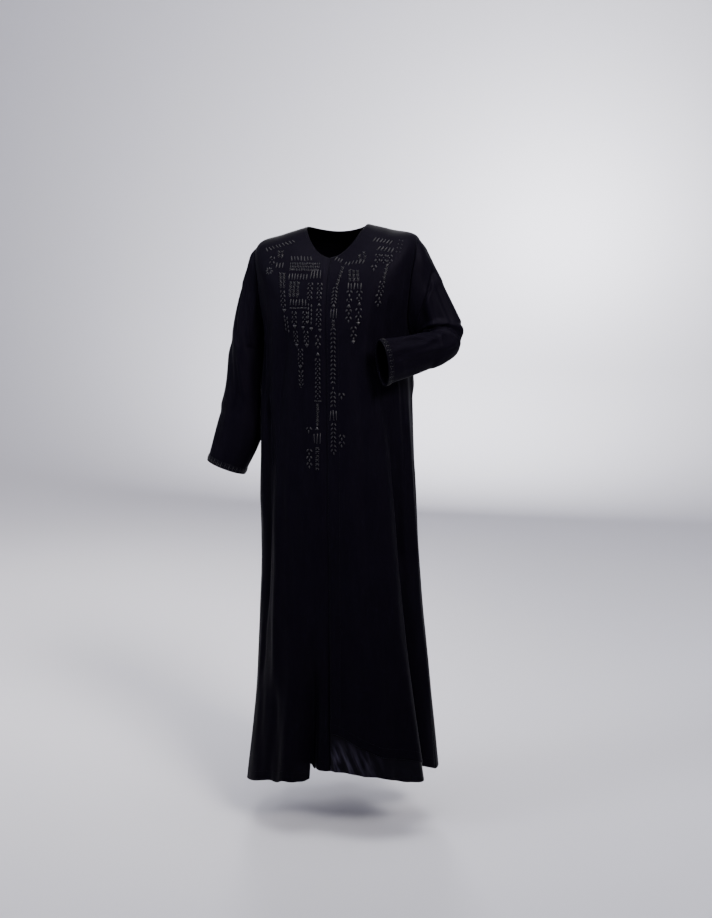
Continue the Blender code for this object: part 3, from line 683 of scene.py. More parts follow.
SLEEVE_CREASES = {
    RIGHT: (
        (0.05, 0.50, 10, 70, 8, 9, -5, -3.4),
        (0.10, 0.48, 60, 120, 8, 9, 4.4, 3),
        (0.40, 0.72, 50, 112, 8, 9, 4, 3),
        (0.38, 0.74, 58, 92, 8, 9, -3.4, -2.6),
        (0.62, 0.97, 40, 56, 8, 8, -1.4, -2),
        (0.30, 0.90, 160, 150, 8, 9, 2, 2),
        (0.12, 0.60, 205, 190, 8, 8, -2.6, -1.6),
        (0.20, 0.80, 300, 320, 9, 9, -2.4, -1.6),
        (0.48, 0.74, 250, 300, 8, 8, 2.2, 1.4),
    ),
    LEFT: (
        (0.39, 0.50, 5, 0, 26, 26, 4.5, 3),
        (0.312, 0.452, 130, -10, 28, 26, 6, 5),
        (0.335, 0.485, 130, -10, 26, 24, -8, -7),
        (0.13, 0.22, 0, 105, 14, 12, -5, -7),
        (0.19, 0.38, 88, 135, 12, 12, -7, -6),
        (0.60, 0.86, 32, 72, 7, 7, 3, 3),
        (0.46, 0.62, 140, 30, 28, 26, 5, 4),
        (0.06, 0.46, 20, 48, 8, 8, -5, -3.6),
        (0.12, 0.50, 62, 100, 8, 8, 4.4, 3.4),
        (0.20, 0.52, 90, 120, 8, 8, -5, -4),
        (0.50, 0.78, 60, 20, 8, 8, 3, 1.6),
        (0.56, 0.92, 110, 96, 9, 9, -2, -1.6),
        (0.60, 0.96, 20, 12, 8, 9, -1.8, -1.4),
        (0.52, 0.86, 230, 250, 9, 9, -2.6, -1.8),
        (0.14, 0.52, 200, 226, 8, 8, 2.6, 2),
    ),
}
ARM_START_AHEAD = {RIGHT: (-0.10, 0.0, -1.0), LEFT: (0.45, 0.05, -0.90)}  # down the arm, at its first ring
LEAVE_SLOPE = {RIGHT: 72.0, LEFT: 69.0}  # degrees down, as a sleeve leaves its armhole
LEAVE_TURN = 8.0  # less than that at the shoulder point, and more under the arm
ARM_ROWS = {RIGHT: 72, LEFT: 84}
LEAD_SHARE = {RIGHT: 8 / 16, LEFT: 7 / 19}  # how much of a sleeve's folds lies above the arm's first ring
LEAD_ROWS = 72
SEAM_LEAD = (0.0, 0.006, 0.013, 0.024)  # extra rows close to the armhole, as shares of the lead
RING_REACH = 0.04  # either way along the arm, to find which way it runs
RING_START_RISE = 0.4  # of the outward direction at the first ring
BODY_CLEARANCE = 0.003
CLEARANCE_FROM = 0.4  # the share of the way down to the arm at which a sleeve hangs clear of the robe
BODY_SEARCH_DOWN, BODY_SEARCH_STEPS = 1.6, 24
SLEEVE_GIRTH = 0.33  # that the weave is drawn over
SLEEVE_ACROSS = np.arange(SLEEVE_SIDES) * SLEEVE_GIRTH / SLEEVE_SIDES
SLEEVE_SLACK_SEED, SLACK_ENDS = 11, 0.1  # slack fades out over this share of a sleeve at either end

# What is sewn on a sleeve needs its outer grid, its normals and how far along it each row is.
Sleeve = namedtuple("Sleeve", "outer facing length")


def tube_facing(points):
    """Outward normals of a tube's grid, whose rows run down it and whose columns run round it."""
    round_it = np.roll(points, -1, 1) - np.roll(points, 1, 1)
    return unit(np.cross(np.gradient(points, axis=0), round_it))


def armhole_loop(side, around):
    """A sleeve's first ring, just inside the armhole's edge, from the shoulder point forwards."""
    inset = turn_for_gap(side * SIDE, ARMHOLE_MIDDLE, SEAM_GAP)
    down = ARMHOLE_MIDDLE - (ARMHOLE_HALF - SEAM_GAP) * np.cos(around)
    return robe_point(side * (SIDE - (ARMHOLE_TURN - inset) * np.sin(around)), down)


def arm_rings(side, along, around):
    """Rings round the arm at these distances along it, each starting on its outer side."""
    track = columns_of(ARM_SIZES, ARMS[side])

    def middle(place):
        inside = np.array([track[axis](max(place, 0.0)) for axis in "xyz"])
        return inside + np.array(ARM_START_AHEAD[side]) * min(place, 0.0)

    out = np.array([side, 0.0, RING_START_RISE])
    rings = []
    for place in along:
        ahead = unit(middle(place + RING_REACH) - middle(place - RING_REACH))
        out = unit(out - ahead * np.dot(out, ahead))
        fore = np.cross(ahead, out) * side
        size_out, size_fore = track["out"](place), track["fore"](place)
        ray = out * np.cos(around)[:, None] * size_out + fore * np.sin(around)[:, None] * size_fore
        under = np.maximum(-ray[:, 2:], 0.0) / max(size_out, size_fore)
        rings.append(middle(place) + ray - np.array([0.0, 0.0, 1.0]) * under**2 * track["hang"](place))
    return np.array(rings)


def level_on_robe(turn_at, z):
    """(turn, down) of the robe's face at these heights, `turn_at` giving the turn for each down."""
    low, high = np.zeros(z.shape), np.full(z.shape, BODY_SEARCH_DOWN)
    for _ in range(BODY_SEARCH_STEPS):
        down = (low + high) / 2
        turn = turn_at(down)
        above = robe_point(turn, down, creased=False)[..., 2] > z
        low, high = np.where(above, down, low), np.where(above, high, down)
    return turn, down


def keep_off_robe(points, clearance):
    """Sleeve points, moved out level until they clear the robe's face."""
    x, y, z = np.moveaxis(points, -1, 0)

    def turn_at(down):
        half = np.where(x > 0, BODY["left"](down), BODY["right"](down))
        deep = np.where(y < 0, BODY["front"](down), BODY["back"](down))
        power = BODY["square"](down) / 2
        across = np.clip(np.abs(x) / half, 1e-6, None) ** power
        return np.degrees(np.arctan2(across * np.sign(x), -(np.abs(y / deep) ** power) * np.sign(y)))

    skin = np.linalg.norm(robe_point(*level_on_robe(turn_at, z))[..., :2], axis=-1)
    reach = np.linalg.norm(points[..., :2], axis=-1)
    short = np.maximum(skin + clearance - reach, 0.0)
    moved = points.copy()
    moved[..., :2] *= (1 + short / reach)[..., None]
    return moved


def set_in_sleeve(side):
    """A sleeve's face from its armhole to its cuff."""
    around = np.linspace(0.0, 2 * math.pi, SLEEVE_SIDES, endpoint=False)
    along = np.linspace(0.0, ARMS[side][-1][0], ARM_ROWS[side] + 1)
    arm_part, start = arm_rings(side, along, around), armhole_loop(side, around)
    slope = np.radians(LEAVE_SLOPE[side] - LEAVE_TURN * np.cos(around))
    reach = np.linalg.norm(arm_part[0] - start, axis=-1)[:, None]
    leave = np.stack([side * np.cos(slope), 0 * slope, -np.sin(slope)], -1) * reach
    arrive = np.array(ARM_START_AHEAD[side]) * reach
    lead_share = np.unique(np.concatenate([SEAM_LEAD, np.linspace(0.0, 1.0, LEAD_ROWS + 1)[1:-1]]))
    t = lead_share[:, None, None]
    outer = np.concatenate([hermite(t, start, arm_part[0], leave, arrive), arm_part])
    clearance = BODY_CLEARANCE * ease(np.concatenate([lead_share, 0 * along + 1]) / CLEARANCE_FROM)
    outer[1:] = keep_off_robe(outer[1:], clearance[1:, None])
    turn = np.degrees(around)
    if side == LEFT:
        outer, turn = outer[:, ::-1], turn[::-1]
    lead_end = LEAD_SHARE[side]
    share = np.concatenate([lead_share * lead_end, between(lead_end, 1, along / along[-1])])[:, None]
    length = run_length(outer).mean(1)
    shape = folds_at(SLEEVE_FOLDS[side], turn, share) + folds_at(SLEEVE_CREASES[side], turn, share)
    loose = slack(SLEEVE_ACROSS, length[:, None], SLEEVE_SLACK_SEED + side)
    shape = shape + loose * ease(share / SLACK_ENDS) * ease((1 - share) / SLACK_ENDS)
    outer = outer + tube_facing(outer) * shape[..., None]
    facing = tube_facing(outer)
    return Sleeve(outer - facing * seam_roll(length)[:, None, None], facing, length)


def sleeve_cut(length):
    """Places on a sleeve's flat cloth, for rows this far along it."""
    return np.stack(np.broadcast_arrays(SLEEVE_ACROSS[None], length[:, None]), -1)


sleeves = {"right": set_in_sleeve(RIGHT), "left": set_in_sleeve(LEFT)}
for side, flat, area in (("right", (0.40, 0.58), 0.163), ("left", (0.40, 0.55), 0.120)):
    outer, facing, length = sleeves[side]
    cut = sleeve_cut(length)
    made = cloth_wall("crepe_sleeve_" + side, outer, facing, cut, crepe, closed=True)
    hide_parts("sleeve_" + side)

# ------------------------------------------------------------
# A narrow band round each cuff, folded from the same satin as the lining. It lies flat on the sleeve's end
# and is stitched down along both of its edges.
TRIM_WIDTH = 0.016
TRIM_CLOTH = 0.001
TRIM_ROWS = 10
ON_BAND = TRIM_CLOTH + SEAM_GAP  # the band's face, above the sleeve's


def at_lengths(grid, length, places):
    """Rows of a sleeve's grid at these distances along it."""
    upper = np.clip(np.searchsorted(length, places) - 1, 0, len(length) - 2)
    t = ((places - length[upper]) / (length[upper + 1] - length[upper]))[:, None, None]
    return between(grid[upper], grid[upper + 1], t)


for side, flat in (("right", (0.34, TRIM_WIDTH)), ("left", (0.28, TRIM_WIDTH))):
    outer, facing, length = sleeves[side]
    places = length[-1] - TRIM_WIDTH * np.linspace(1.0, 0.0, TRIM_ROWS + 1)
    out = at_lengths(facing, length, places)
    face = at_lengths(outer, length, places) + out * ON_BAND
    name, cut = "satin_cuff_band_" + side, sleeve_cut(places)
    made = cloth_wall(name, face, out, cut, satin, closed=True, thickness=TRIM_CLOTH)
    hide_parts("cuff_trim_" + side)

# ------------------------------------------------------------
# Embroidery on both fronts, worked through the crepe in columns that hang from the shoulders: padded
# satin stitch in black rayon for leaves, bars and triangles, and black glass beads sewn on among them.

# Each small shape at places along it: half its width and its height there, as shares of its size.
SHAPES = {
    "leaf": ((-0.26, 0.40, 0.80), (0.04, 0.50, 1.00), (0.30, 0.30, 0.70)),
    "bar": ((-0.45, 0.44, 0.85), (0.00, 0.50, 1.00), (0.45, 0.44, 0.85)),
    "triangle": ((-0.46, 0.50, 0.80), (-0.05, 0.28, 1.00), (0.38, 0.07, 0.60)),
    "bead": ((-0.34, 0.36, 0.72), (0.00, 0.50, 1.00), (0.34, 0.36, 0.72)),
}
SHAPE_SIDES = 6
SHAPE_SUNK = 0.3  # how much of a shape's height lies in the cloth
SHAPE_LIFT = 0.00025

# One stitch or bead of a motif, in millimetres from the motif's middle, its lean in degrees from upright.
Stitch = namedtuple("Stitch", "shape across below lean length width height")
MOTIF_STITCHES = (
    # motif, shape, across, below, lean, length, width, height
    ("bead", "bead", 0, 0, 0, 3, 3, 1.8),
    ("leaf", "leaf", 0, 0, 0, 8, 3.2, 1.4),
    ("fine_bar", "bar", 0, 0, 0, 6.4, 1.7, 1),
    ("bar", "bar", 0, 0, 0, 15.5, 2.5, 1.3),
    ("bar_falling", "bar", 0, 0, -14, 13.5, 2.4, 1.3),
    ("bar_rising", "bar", 0, 0, 14, 12, 2.4, 1.3),
    ("shoulder_bar_falling", "bar", 0, 0, -46, 14, 2.4, 1.3),
    ("shoulder_bar_rising", "bar", 0, 0, 30, 14.5, 2.4, 1.3),
    ("tall_bar", "bar", 0, 0, 0, 25, 2.3, 1.3),
    ("dash", "bar", 0, 0, 90, 8, 2.4, 1.2),
    ("triangle_down", "triangle", 0, 0, 0, 8.5, 11.5, 1.4),
    ("triangle_up", "triangle", 0, 0, 180, 8.5, 11.5, 1.4),
    ("arrow", "leaf", -4.2, 0, 38, 9, 3, 1.4),
    ("arrow", "leaf", 4.2, 0, -38, 9, 3, 1.4),
    ("vee", "leaf", -3.6, 0, -40, 8, 2.8, 1.4),
    ("vee", "leaf", 3.6, 0, 40, 8, 2.8, 1.4),
    ("cross", "bar", 0, 0, 45, 9.4, 1.5, 1),
    ("cross", "bar", 0, 0, -45, 9.4, 1.5, 1.2),
    ("cross", "bead", 0, 4.6, 0, 2.4, 2.4, 1.6),
    ("pair", "leaf", -5, 0, 26, 7.4, 3.2, 1.4),
    ("pair", "leaf", 5, 0, -26, 7.4, 3.2, 1.4),
    ("pair", "bead", 0, 4.8, 0, 2.8, 2.8, 1.8),
    ("sprig", "leaf", -5.2, 0, 38, 8.2, 3.6, 1.5),
    ("sprig", "leaf", 5.2, 0, -38, 8.2, 3.6, 1.5),
    ("sprig", "leaf", 0, 8.2, 0, 8.6, 3.6, 1.5),
    ("dash_and_dots", "bar", 0, 0, 90, 9, 2.2, 1.2),
    ("dash_and_dots", "bead", -3.4, 4.6, 0, 2.6, 2.6, 1.7),
    ("dash_and_dots", "bead", 3.4, 4.6, 0, 2.6, 2.6, 1.7),
)
PETAL_STEP, PETAL_REACH, PETAL = 45, 7.0, (7.2, 3.2, 1.4)
MOTIFS = {"rosette": []}
for motif, *stitch in MOTIF_STITCHES:
    MOTIFS.setdefault(motif, []).append(Stitch(*stitch))
for lean in range(0, 360, PETAL_STEP):
    across, above = PETAL_REACH * math.sin(math.radians(lean)), PETAL_REACH * math.cos(math.radians(lean))
    MOTIFS["rosette"].append(Stitch("leaf", across, -above, lean, *PETAL))

# Rows of one motif, in millimetres: x to the wearer's left of centre front, below the shoulders' top, and
# the steps from one motif and from one row to the next.
BAND_SIZES = "motif x below across step_x step_below rows row_x row_below"
Band = namedtuple("Band", BAND_SIZES, defaults=(1, 0, 0, 1, 0, 0))
RIGHT_FRONT_CHART = (
    # motif, x, below, across, step_x, step_below, rows, row_x, row_below
    ("shoulder_bar_falling", -168, 61, 9, 8.4, -2.6),  # the shoulder
    ("cross", -134, 66, 2, 9.5, 0, 2, 1, 9),  # beside the armhole
    ("pair", -148, 80, 1, 0, 0, 2, 0, 11),
    ("rosette", -153, 112),
    ("bar", -134, 98, 3, 8.4),
    ("cross", -121, 119, 2, 8.8, 0, 4, 1.2, 9.4),
    ("pair", -112, 162, 1, 0, 0, 4, 1, 11),
    ("triangle_down", -106, 209),
    ("leaf", -106, 223, 2, 7.5, 4, 4, 1.2, 10.5),
    ("bar_falling", -97, 81, 7, 8.2),  # the chest, from its top bars down
    ("fine_bar", -97, 93.5, 18, 4.3, 0, 3, 0, 7.4),
    ("bar", -97, 125, 7, 7.6),
    ("tall_bar", -40, 118, 4, 7.6),
    ("cross", -92, 140, 3, 10, 0, 4, 0, 9.6),
    ("bar", -90, 187, 6, 8),
    ("dash", -88, 201, 5, 9.6),
    ("pair", -79, 212, 2, 28, 0, 3, 0.5, 11.5),
    ("triangle_down", -77, 247, 4, 22, 2.5),
    ("pair", -75, 260, 2, 28, 0, 3, 0.6, 11),
    ("triangle_down", -72, 293, 2, 27),
    ("pair", -62, 304, 1, 0, 0, 4, 0, 11),
    ("triangle_down", -62, 346),
    ("vee", -61, 358, 1, 0, 0, 4, 0, 11),
    ("bead", -61, 364, 1, 0, 0, 4, 0, 11),
    ("pair", -40, 142, 2, 24, 0, 4, 0, 11),  # beside the opening
    ("leaf", -42, 192, 2, 8, 3, 5, 0, 10.5),
    ("triangle_up", -15, 191),
    ("pair", -15, 205, 1, 0, 0, 4, 0, 11.5),
    ("sprig", -16, 270, 1, 0, 0, 2, 0, 18),
    ("triangle_up", -16, 313),
    ("pair", -17, 327, 1, 0, 0, 9, 0, 11.4),
    ("dash", -22, 430, 2, 9),
    ("cross", -18, 440, 1, 0, 0, 6, 0, 9.6),
    ("triangle_up", -18, 498),
    ("tall_bar", -26, 524, 3, 7.6),
    ("dash_and_dots", -18, 547, 1, 0, 0, 6, 0, 10.2),
    ("sprig", -40, 499),
    ("sprig", -39, 555, 1, 0, 0, 3, 0, 17),
)
LEFT_FRONT_CHART = (
    # motif, x, below, across, step_x, step_below, rows, row_x, row_below
    ("cross", 38, 102, 1, 0, 0, 5, -2.6, 10),  # beside the opening
    ("arrow", 24, 152, 1, 0, 0, 5, -0.6, 8.4),
    ("triangle_up", 22, 193),
    ("tall_bar", 15, 212, 3, 7.4),
    ("cross", 22, 231, 1, 0, 0, 2, 0, 10),
    ("arrow", 22, 251, 1, 0, 0, 13, 0, 11),
    ("leaf", 22, 397),
    ("arrow", 22, 409, 1, 0, 0, 4, 0, 10.6),
    ("tall_bar", 15, 465, 3, 7.4),
    ("arrow", 23, 488, 1, 0, 0, 6, 0, 10.6),
    ("sprig", 24, 552),
    ("sprig", 43, 412),
    ("sprig", 44, 516, 1, 0, 0, 2, 0, 17),
    ("bar_rising", 15, 82, 3, 8, 2),  # the chest
    ("bar_rising", 44, 92, 6, 8.8, -1),
    ("cross", 56, 110, 3, 10, 0, 3, 1.5, 9.6),
    ("bar", 56, 146, 5, 7.8),
    ("sprig", 60, 160, 2, 24),
    ("pair", 60, 179, 2, 24, -3),
    ("triangle_up", 60, 193, 2, 24, -5),
    ("sprig", 60, 205, 2, 24, -3, 2, 0, 18),
    ("triangle_down", 84, 237),
    ("sprig", 72, 248, 1, 0, 0, 2, 0, 18),
    ("triangle_down", 72, 283),
    ("cross", 76, 74, 2, 10, -8, 2, 5, 9),
    ("shoulder_bar_rising", 108, 34, 6, 8.4, 1.4),  # the shoulder and beside the armhole
    ("shoulder_bar_rising", 122, 55, 5, 8.8, 1.2),
    ("pair", 122, 71, 3, 15, 1, 2, 1, 12),
    ("sprig", 116, 98),
    ("cross", 148, 96, 1, 0, 0, 4, -2, 9.8),
    ("pair", 138, 136, 1, 0, 0, 3, -1.5, 11),
    ("sprig", 131, 168, 1, 0, 0, 2, -1.5, 17),
    ("bead", 170, 36, 2, 8, 1, 4, -1, 9),
)
HAND_SHIFT = 0.35  # millimetres by which a stitch strays
HAND_LEAN = 4.0
HAND_SIZE = 0.12  # the most that a stitch is too large or small

# Rayon thread laid flat and close: smooth and silky along the stitch, with fine ridges across it. The
# ridges are drawn at 0.8 mm, twice the real thread.
THREAD_BLACK = "#0f0e12"
THREAD_PITCH = 0.0008
thread, tree, shader = new_material("black_rayon_thread")
place = add(tree, "TexCoord", "Object")
ridges = add(tree, "TexNoise", Scale=1 / THREAD_PITCH, Detail=1.0, Vector=place)
bump = add(tree, "Bump", Strength=0.4, Distance=0.0002, Height=ridges)
lustre = add(tree, "MapRange", To_Min=0.30, To_Max=0.50, Value=ridges)
wire(shader, Base_Color=linear(THREAD_BLACK), Roughness=lustre, Normal=bump, Specular_IOR_Level=0.3)

# The same rayon laid over padding for the triangles. Its colour is painted lighter than the flat stitches':
# a painted highlight for the extra light that the floats, drawn tight over a rounded ground, give back.
PADDED_PAINTED_SHEEN = "#222127"
# A copy of the thread that differs only in its painted-lighter colour, the painted highlight of the padded
# stitches.
padded_thread_painted_sheen = thread.copy()
padded_thread_painted_sheen.name = "black_rayon_thread_padded"
wire(padded_thread_painted_sheen.node_tree.nodes["Principled BSDF"], Base_Color=linear(PADDED_PAINTED_SHEEN))

# Pressed black glass: near black right through, with a bright point of light on each bead. A little
# pitting where the bead was pressed keeps the points from being all alike.
GLASS_BLACK = "#0b0b0e"
GLASS_PITS = 0.0011
glass, tree, shader = new_material("black_pressed_glass")
place = add(tree, "TexCoord", "Object")
pits = add(tree, "TexNoise", Scale=1 / GLASS_PITS, Detail=2.0, Vector=place)
polish = add(tree, "MapRange", To_Min=0.10, To_Max=0.28, Value=pits)
wire(shader, Base_Color=linear(GLASS_BLACK), Roughness=polish, IOR=1.52, Specular_IOR_Level=0.4)
FINISH = {"leaf": thread, "bar": thread, "triangle": padded_thread_painted_sheen, "bead": glass}


def small_shape(name):
    """A shape one metre long, wide and high, as a low dome with closed ends, to be sewn on by the tree."""
    points = [(0.0, -0.5, 0.0)]
    for along, half_width, height in SHAPES[name]:
        for angle in np.linspace(0.0, 2 * math.pi, SHAPE_SIDES, endpoint=False):
            points.append((half_width * math.cos(angle), along, height * max(math.sin(angle), -SHAPE_SUNK)))
    points.append((0.0, 0.5, 0.0))
    last = len(points) - 1
    faces = []
    for side in range(SHAPE_SIDES):
        beside = (side + 1) % SHAPE_SIDES
        faces.append((0, 1 + side, 1 + beside))
        for start in range(1, last - SHAPE_SIDES, SHAPE_SIDES):
            after = start + SHAPE_SIDES
            faces.append((start + side, after + side, after + beside, start + beside))
        end = last - SHAPE_SIDES
        faces.append((end + beside, end + side, last))
    mesh = bpy.data.meshes.new(name)
    mesh.from_pydata(points, [], faces)
    mesh.shade_smooth()
    return bpy.data.objects.new(name, mesh)


def sewing_tree():
    """Puts one shape at every point of a mesh, turned and sized by the points' own attributes."""
    tree = bpy.data.node_groups.new("sew_on", "GeometryNodeTree")
    sockets = {}
    kinds = {"Places": "Geometry", "Shape": "Object", "Finish": "Material", "Uneven": "Float", "Seed": "Int"}
    for name, kind in kinds.items():
        made = tree.interface.new_socket(name, in_out="INPUT", socket_type="NodeSocket" + kind)
        sockets[name] = made.identifier
    tree.interface.new_socket("Sewn", in_out="OUTPUT", socket_type="NodeSocketGeometry")
    places, shape, finish, uneven, seed = list(tree.nodes.new("NodeGroupInput").outputs)[: len(kinds)]
    facing, way, size = [
        add(tree, "GeometryNodeInputNamedAttribute", "Attribute", data_type="FLOAT_VECTOR", Name=name)
        for name in ("facing", "way", "size")
    ]
    axes = {"primary_axis": "Z", "secondary_axis": "Y"}
    turned = add(tree, "FunctionNodeAxesToRotation", **axes, _0=facing, _1=way)
    least = add(tree, "Math", operation="SUBTRACT", _0=1.0, _1=uneven)
    most = add(tree, "Math", operation="ADD", _0=1.0, _1=uneven)
    share = add(tree, "FunctionNodeRandomValue", 1, data_type="FLOAT", _2=least, _3=most, Seed=seed)
    size = add(tree, "VectorMath", operation="SCALE", _0=size, Scale=share)
    shape = add(tree, "GeometryNodeObjectInfo", "Geometry", Object=shape)
    turns = {"Rotation": turned, "Scale": size}
    sewn = add(tree, "GeometryNodeInstanceOnPoints", Points=places, Instance=shape, **turns)
    real = add(tree, "GeometryNodeRealizeInstances", Geometry=sewn)
    add(tree, "NodeGroupOutput", Sewn=add(tree, "GeometryNodeSetMaterial", Geometry=real, Material=finish))
    return tree, sockets


sew_tree, sew_sockets = sewing_tree()

# Where shapes of one kind are sewn on: points, outward and lengthwise directions, and sizes.
Sewn = namedtuple("Sewn", "point facing way size")


def sew_on(name, sewn_by_shape, uneven, seed):
    """One piece with every stitch and bead of a panel."""
    whole = bmesh.new()
    finishes = list(dict.fromkeys(FINISH[shape] for shape in sewn_by_shape))
    for shape, sewn in sewn_by_shape.items():
        places = bpy.data.meshes.new("places")
        places.from_pydata(sewn.point.tolist(), [], [])
        for field in ("facing", "way", "size"):
            values = getattr(sewn, field).astype(np.float32).ravel()
            places.attributes.new(field, "FLOAT_VECTOR", "POINT").data.foreach_set("vector", values)
        holder, pattern = link_object("places", places), small_shape(shape)
        modifier = holder.modifiers.new("sew_on", "NODES")
        modifier.node_group = sew_tree
        given = {"Shape": pattern, "Finish": FINISH[shape], "Uneven": uneven, "Seed": seed}
        for socket, value in given.items():
            modifier[sew_sockets[socket]] = value
        graph = bpy.context.evaluated_depsgraph_get()
        made = bpy.data.meshes.new_from_object(holder.evaluated_get(graph), depsgraph=graph)
        first = len(whole.faces)
        whole.from_mesh(made)
        whole.faces.ensure_lookup_table()
        for face in whole.faces[first:]:
            face.material_index = finishes.index(FINISH[shape])
        for used in (holder, pattern):
            bpy.data.objects.remove(used)
        bpy.data.meshes.remove(places)
        bpy.data.meshes.remove(made)
    mesh = bpy.data.meshes.new(name)
    whole.to_mesh(mesh)
    whole.free()
    mesh.materials.clear()
    for finish in finishes:
        mesh.materials.append(finish)
    return finished_piece(name, mesh)


def embroidery(name, chart, drop, seed):
    """The embroidery of one front, each stitch a little out of true, as handwork is."""
    rows = []
    for band in (Band(*sizes) for sizes in chart):
        for row in range(band.rows):
            for step in range(band.across):
                x = band.x + step * band.step_x + row * band.row_x
                below = band.below + step * band.step_below + row * band.row_below
                for stitch in MOTIFS[band.motif]:
                    rows.append((stitch.shape, x + stitch.across, -below - stitch.below, *stitch[3:]))
    shapes = np.array([row[0] for row in rows])
    x, z, lean, length, width, height = np.array([row[1:] for row in rows]).T
    hand = np.random.default_rng(seed)
    x = (x + hand.normal(0.0, HAND_SHIFT, len(x))) / 1000
    z = (z + hand.normal(0.0, HAND_SHIFT, len(x))) / 1000
    lean = np.radians(lean + hand.normal(0.0, HAND_LEAN, len(x)))[:, None]
    turn, down = level_on_robe(lambda down: turn_of(x, down), z)
    point, facing = robe_point(turn, down), robe_facing(turn, down)
    left = unit(np.cross((0.0, 0.0, 1.0), facing))
    point = point + facing * (SHAPE_LIFT - drop(point[..., 0], down))[:, None]
    way = np.cross(left, facing) * np.cos(lean) - left * np.sin(lean)
    size = np.stack([width, length, height], -1) / 1000
    sewn = {}
    for shape in sorted(set(shapes)):
        sewn[shape] = Sewn(*(values[shapes == shape] for values in (point, facing, way, size)))
    sew_on(name, sewn, HAND_SIZE, seed)


embroidery("embroidery_front_right", RIGHT_FRONT_CHART, lap_drop, seed=21)
embroidery("embroidery_front_left", LEFT_FRONT_CHART, no_drop, seed=22)

# ------------------------------------------------------------
# Beading on both cuff bands: slanted leaves of satin stitch in pairs along the middle, a glass bead
# between each two pairs, and a line of small beads along the upper edge.
CUFF_PITCH = 0.0105
CUFF_MOTIF = (
    #       shape  round  in    lean length width height
    Stitch("leaf", 0.0, 5.2, 36.0, 5.6, 1.9, 1.0),
    Stitch("leaf", 0.0, 9.8, -36.0, 5.6, 1.9, 1.0),
    Stitch("bead", 4.6, 7.5, 0.0, 2.0, 2.0, 1.4),
    Stitch("bead", 0.0, 13.8, 0.0, 1.6, 1.6, 1.1),
)
CUFF_SEED = 31


def on_sleeve(sleeve, share, place):
    """Points of a sleeve's face, with outward, round and lengthwise directions, at shares round it."""
    column = share * SLEEVE_SIDES
    left = np.floor(column).astype(int) % SLEEVE_SIDES
    right, part = (left + 1) % SLEEVE_SIDES, (column % 1.0)[:, None]
    each = np.arange(len(share))
    face, out = (at_lengths(grid, sleeve.length, place) for grid in (sleeve.outer, sleeve.facing))
    point = between(face[each, left], face[each, right], part)
    normal = unit(between(out[each, left], out[each, right], part))
    round_it = face[each, right] - face[each, left]
    round_it = unit(round_it - normal * (round_it * normal).sum(-1, keepdims=True))
    return point, normal, round_it, np.cross(round_it, normal)


for side, sleeve in sleeves.items():
    edge = sleeve.outer[-1]
    girth = np.linalg.norm(edge - np.roll(edge, -1, 0), axis=-1).sum()
    cells = round(girth / CUFF_PITCH)
    sewn = {}
    for shape in ("leaf", "bead"):
        stitches = [stitch for stitch in CUFF_MOTIF if stitch.shape == shape]
        _, across, inside, lean, long, wide, high = zip(*stitches)
        cell = np.repeat(np.arange(cells), len(stitches))
        across, inside, lean = (np.tile(values, cells) for values in (across, inside, lean))
        share = ((cell + 0.5) / cells + across / 1000 / girth) % 1.0
        point, normal, round_it, down_it = on_sleeve(sleeve, share, sleeve.length[-1] - inside / 1000)
        lean = np.radians(lean)[:, None]
        point = point + normal * (ON_BAND + SHAPE_LIFT)
        way = down_it * np.cos(lean) + round_it * np.sin(lean)
        size = np.tile(np.array([wide, long, high]).T / 1000, (cells, 1))
        sewn[shape] = Sewn(point, normal, way, size)
    sew_on("beading_cuff_" + side, sewn, HAND_SIZE, CUFF_SEED)

# ------------------------------------------------------------
# Machine topstitching in black thread: round the neck, beside the folded edge of the left front, along
# the turned-up hems and both edges of the cuff bands.
STITCH_PITCH = 0.0034
STITCH_SIZE = (0.0006, 0.0026, 0.0005)
STITCH_LIFT = 0.0001
STITCH_SEARCH = 0.0006  # either way along the line, to find a stitch's direction
STITCH_UNEVEN, STITCH_SEED = 0.04, 41
NECK_STITCHES = 0.006
EDGE_STITCHES = (0.003, 0.030)
HEM_STITCHES = 0.025
BAND_STITCHES = (0.0007, 0.0153)  # from the cuff's edge
LINE_SAMPLES = 600
EDGE_SAMPLES = 4  # left out of a line where it meets the left front's folded edge

# Black spun polyester sewing thread, matt, pulled down into the cloth so that it hardly shows.
SEWING_BLACK = "#08080b"
sewing_thread, tree, shader = new_material("black_polyester_thread")
place = add(tree, "TexCoord", "Object")
twist = add(tree, "TexNoise", Scale=1 / THREAD_PITCH, Detail=1.0, Vector=place)
bump = add(tree, "Bump", Strength=0.4, Distance=0.0002, Height=twist)
wire(shader, Base_Color=linear(SEWING_BLACK), Roughness=0.65, Normal=bump, Specular_IOR_Level=0.06)
SHAPES["stitch"] = ((-0.36, 0.42, 0.8), (0.36, 0.42, 0.8))
FINISH["stitch"] = sewing_thread


def run_of_stitches(point, facing):
    """Stitches one after another along a line of points."""
    length = run_length(point)
    places = np.arange(STITCH_PITCH / 2, length[-1], STITCH_PITCH)

    def at(values, where):
        return np.stack([np.interp(where, length, values[:, axis]) for axis in range(3)], -1)

    out = unit(at(facing, places))
    way = at(point, places + STITCH_SEARCH) - at(point, places - STITCH_SEARCH)
    return Sewn(at(point, places) + out * STITCH_LIFT, out, way, np.tile(STITCH_SIZE, (len(places), 1)))


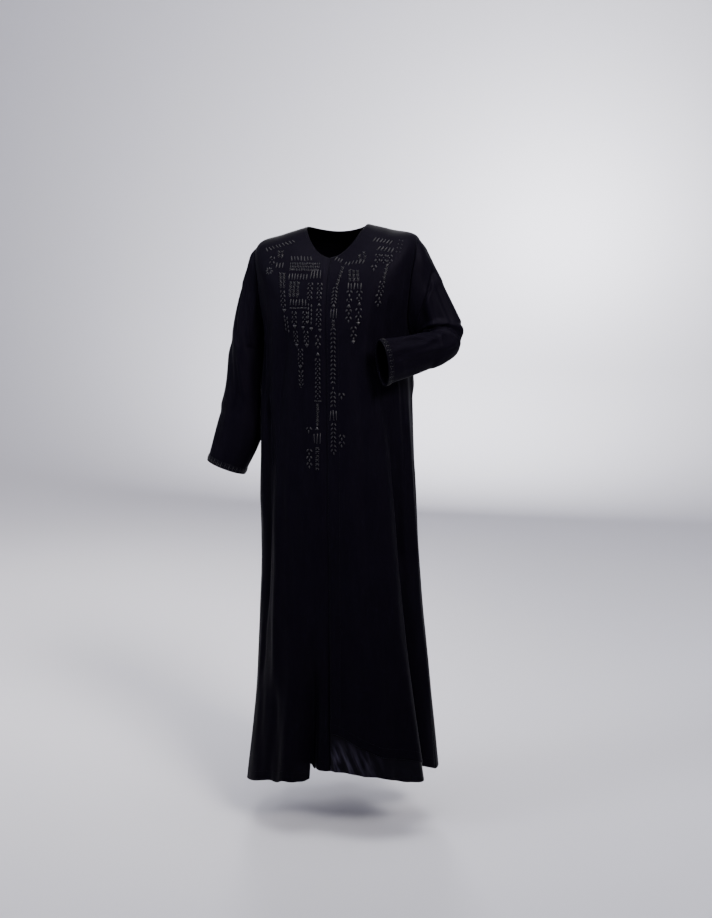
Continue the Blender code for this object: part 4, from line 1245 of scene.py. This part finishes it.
def stitching(name, slot, *lines):
    runs = [run_of_stitches(point, facing) for point, facing in lines]
    sewn = {"stitch": Sewn(*(np.concatenate(values) for values in zip(*runs)))}
    sew_on(name, sewn, STITCH_UNEVEN, STITCH_SEED)


def robe_line(turn, down, drop=no_drop):
    """A line of points on the robe's face, lowered where it passes under the other front."""
    turn, down = np.broadcast_arrays(turn, down)
    point, facing = robe_point(turn, down), robe_facing(turn, down)
    return point - facing * drop(point[:, 0], down)[:, None], facing


def hem_line(turn, hem, drop=no_drop):
    return robe_line(turn, hem(turn) - HEM_STITCHES, drop)


def band_line(sleeve, place):
    """A closed line round a cuff band, this far from its edge."""
    at_place = np.array([sleeve.length[-1] - place])
    point, out = (at_lengths(grid, sleeve.length, at_place)[0] for grid in (sleeve.outer, sleeve.facing))
    point = point + out * ON_BAND
    return np.vstack([point, point[:1]]), np.vstack([out, out[:1]])


line = np.linspace(0.0, 1.0, LINE_SAMPLES)
seam_left, seam_right = (side_edge(side, 1)(np.array([SKIRT_END]))[0] for side in (LEFT, RIGHT))
neck = robe_line(-SIDE + SIDE * line, NECK_STITCHES, lap_drop)
stitching("stitches_front_right", "crepe", neck, hem_line(seam_right * (1 - line), right_hem, lap_drop))

clear = line[EDGE_SAMPLES:]
lines = [robe_line(SIDE * clear, NECK_STITCHES)]
for inset in EDGE_STITCHES:
    down = between(NECK_STITCHES, LEFT_FRONT_HEM[0][1] - HEM_STITCHES, line)
    lines.append(robe_line(centre_edge(LEFT_EDGE_X + inset)(down), down))
stitching("stitches_front_left", "crepe", *lines, hem_line(seam_left * clear, left_hem))

neck = robe_line(SIDE + 2 * SIDE * line, NECK_STITCHES)
hem = hem_line(between(seam_left, 360.0 + seam_right, line), back_hem)
stitching("stitches_back", "crepe", neck, hem)

for side, sleeve in sleeves.items():
    stitching("stitches_cuff_" + side, "cuff_trim", *(band_line(sleeve, place) for place in BAND_STITCHES))

# ------------------------------------------------------------
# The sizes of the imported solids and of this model, for comparison.
low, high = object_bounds()
{"cad": [list(cad_low), list(cad_high)], "visual": [list(low), list(high)]}
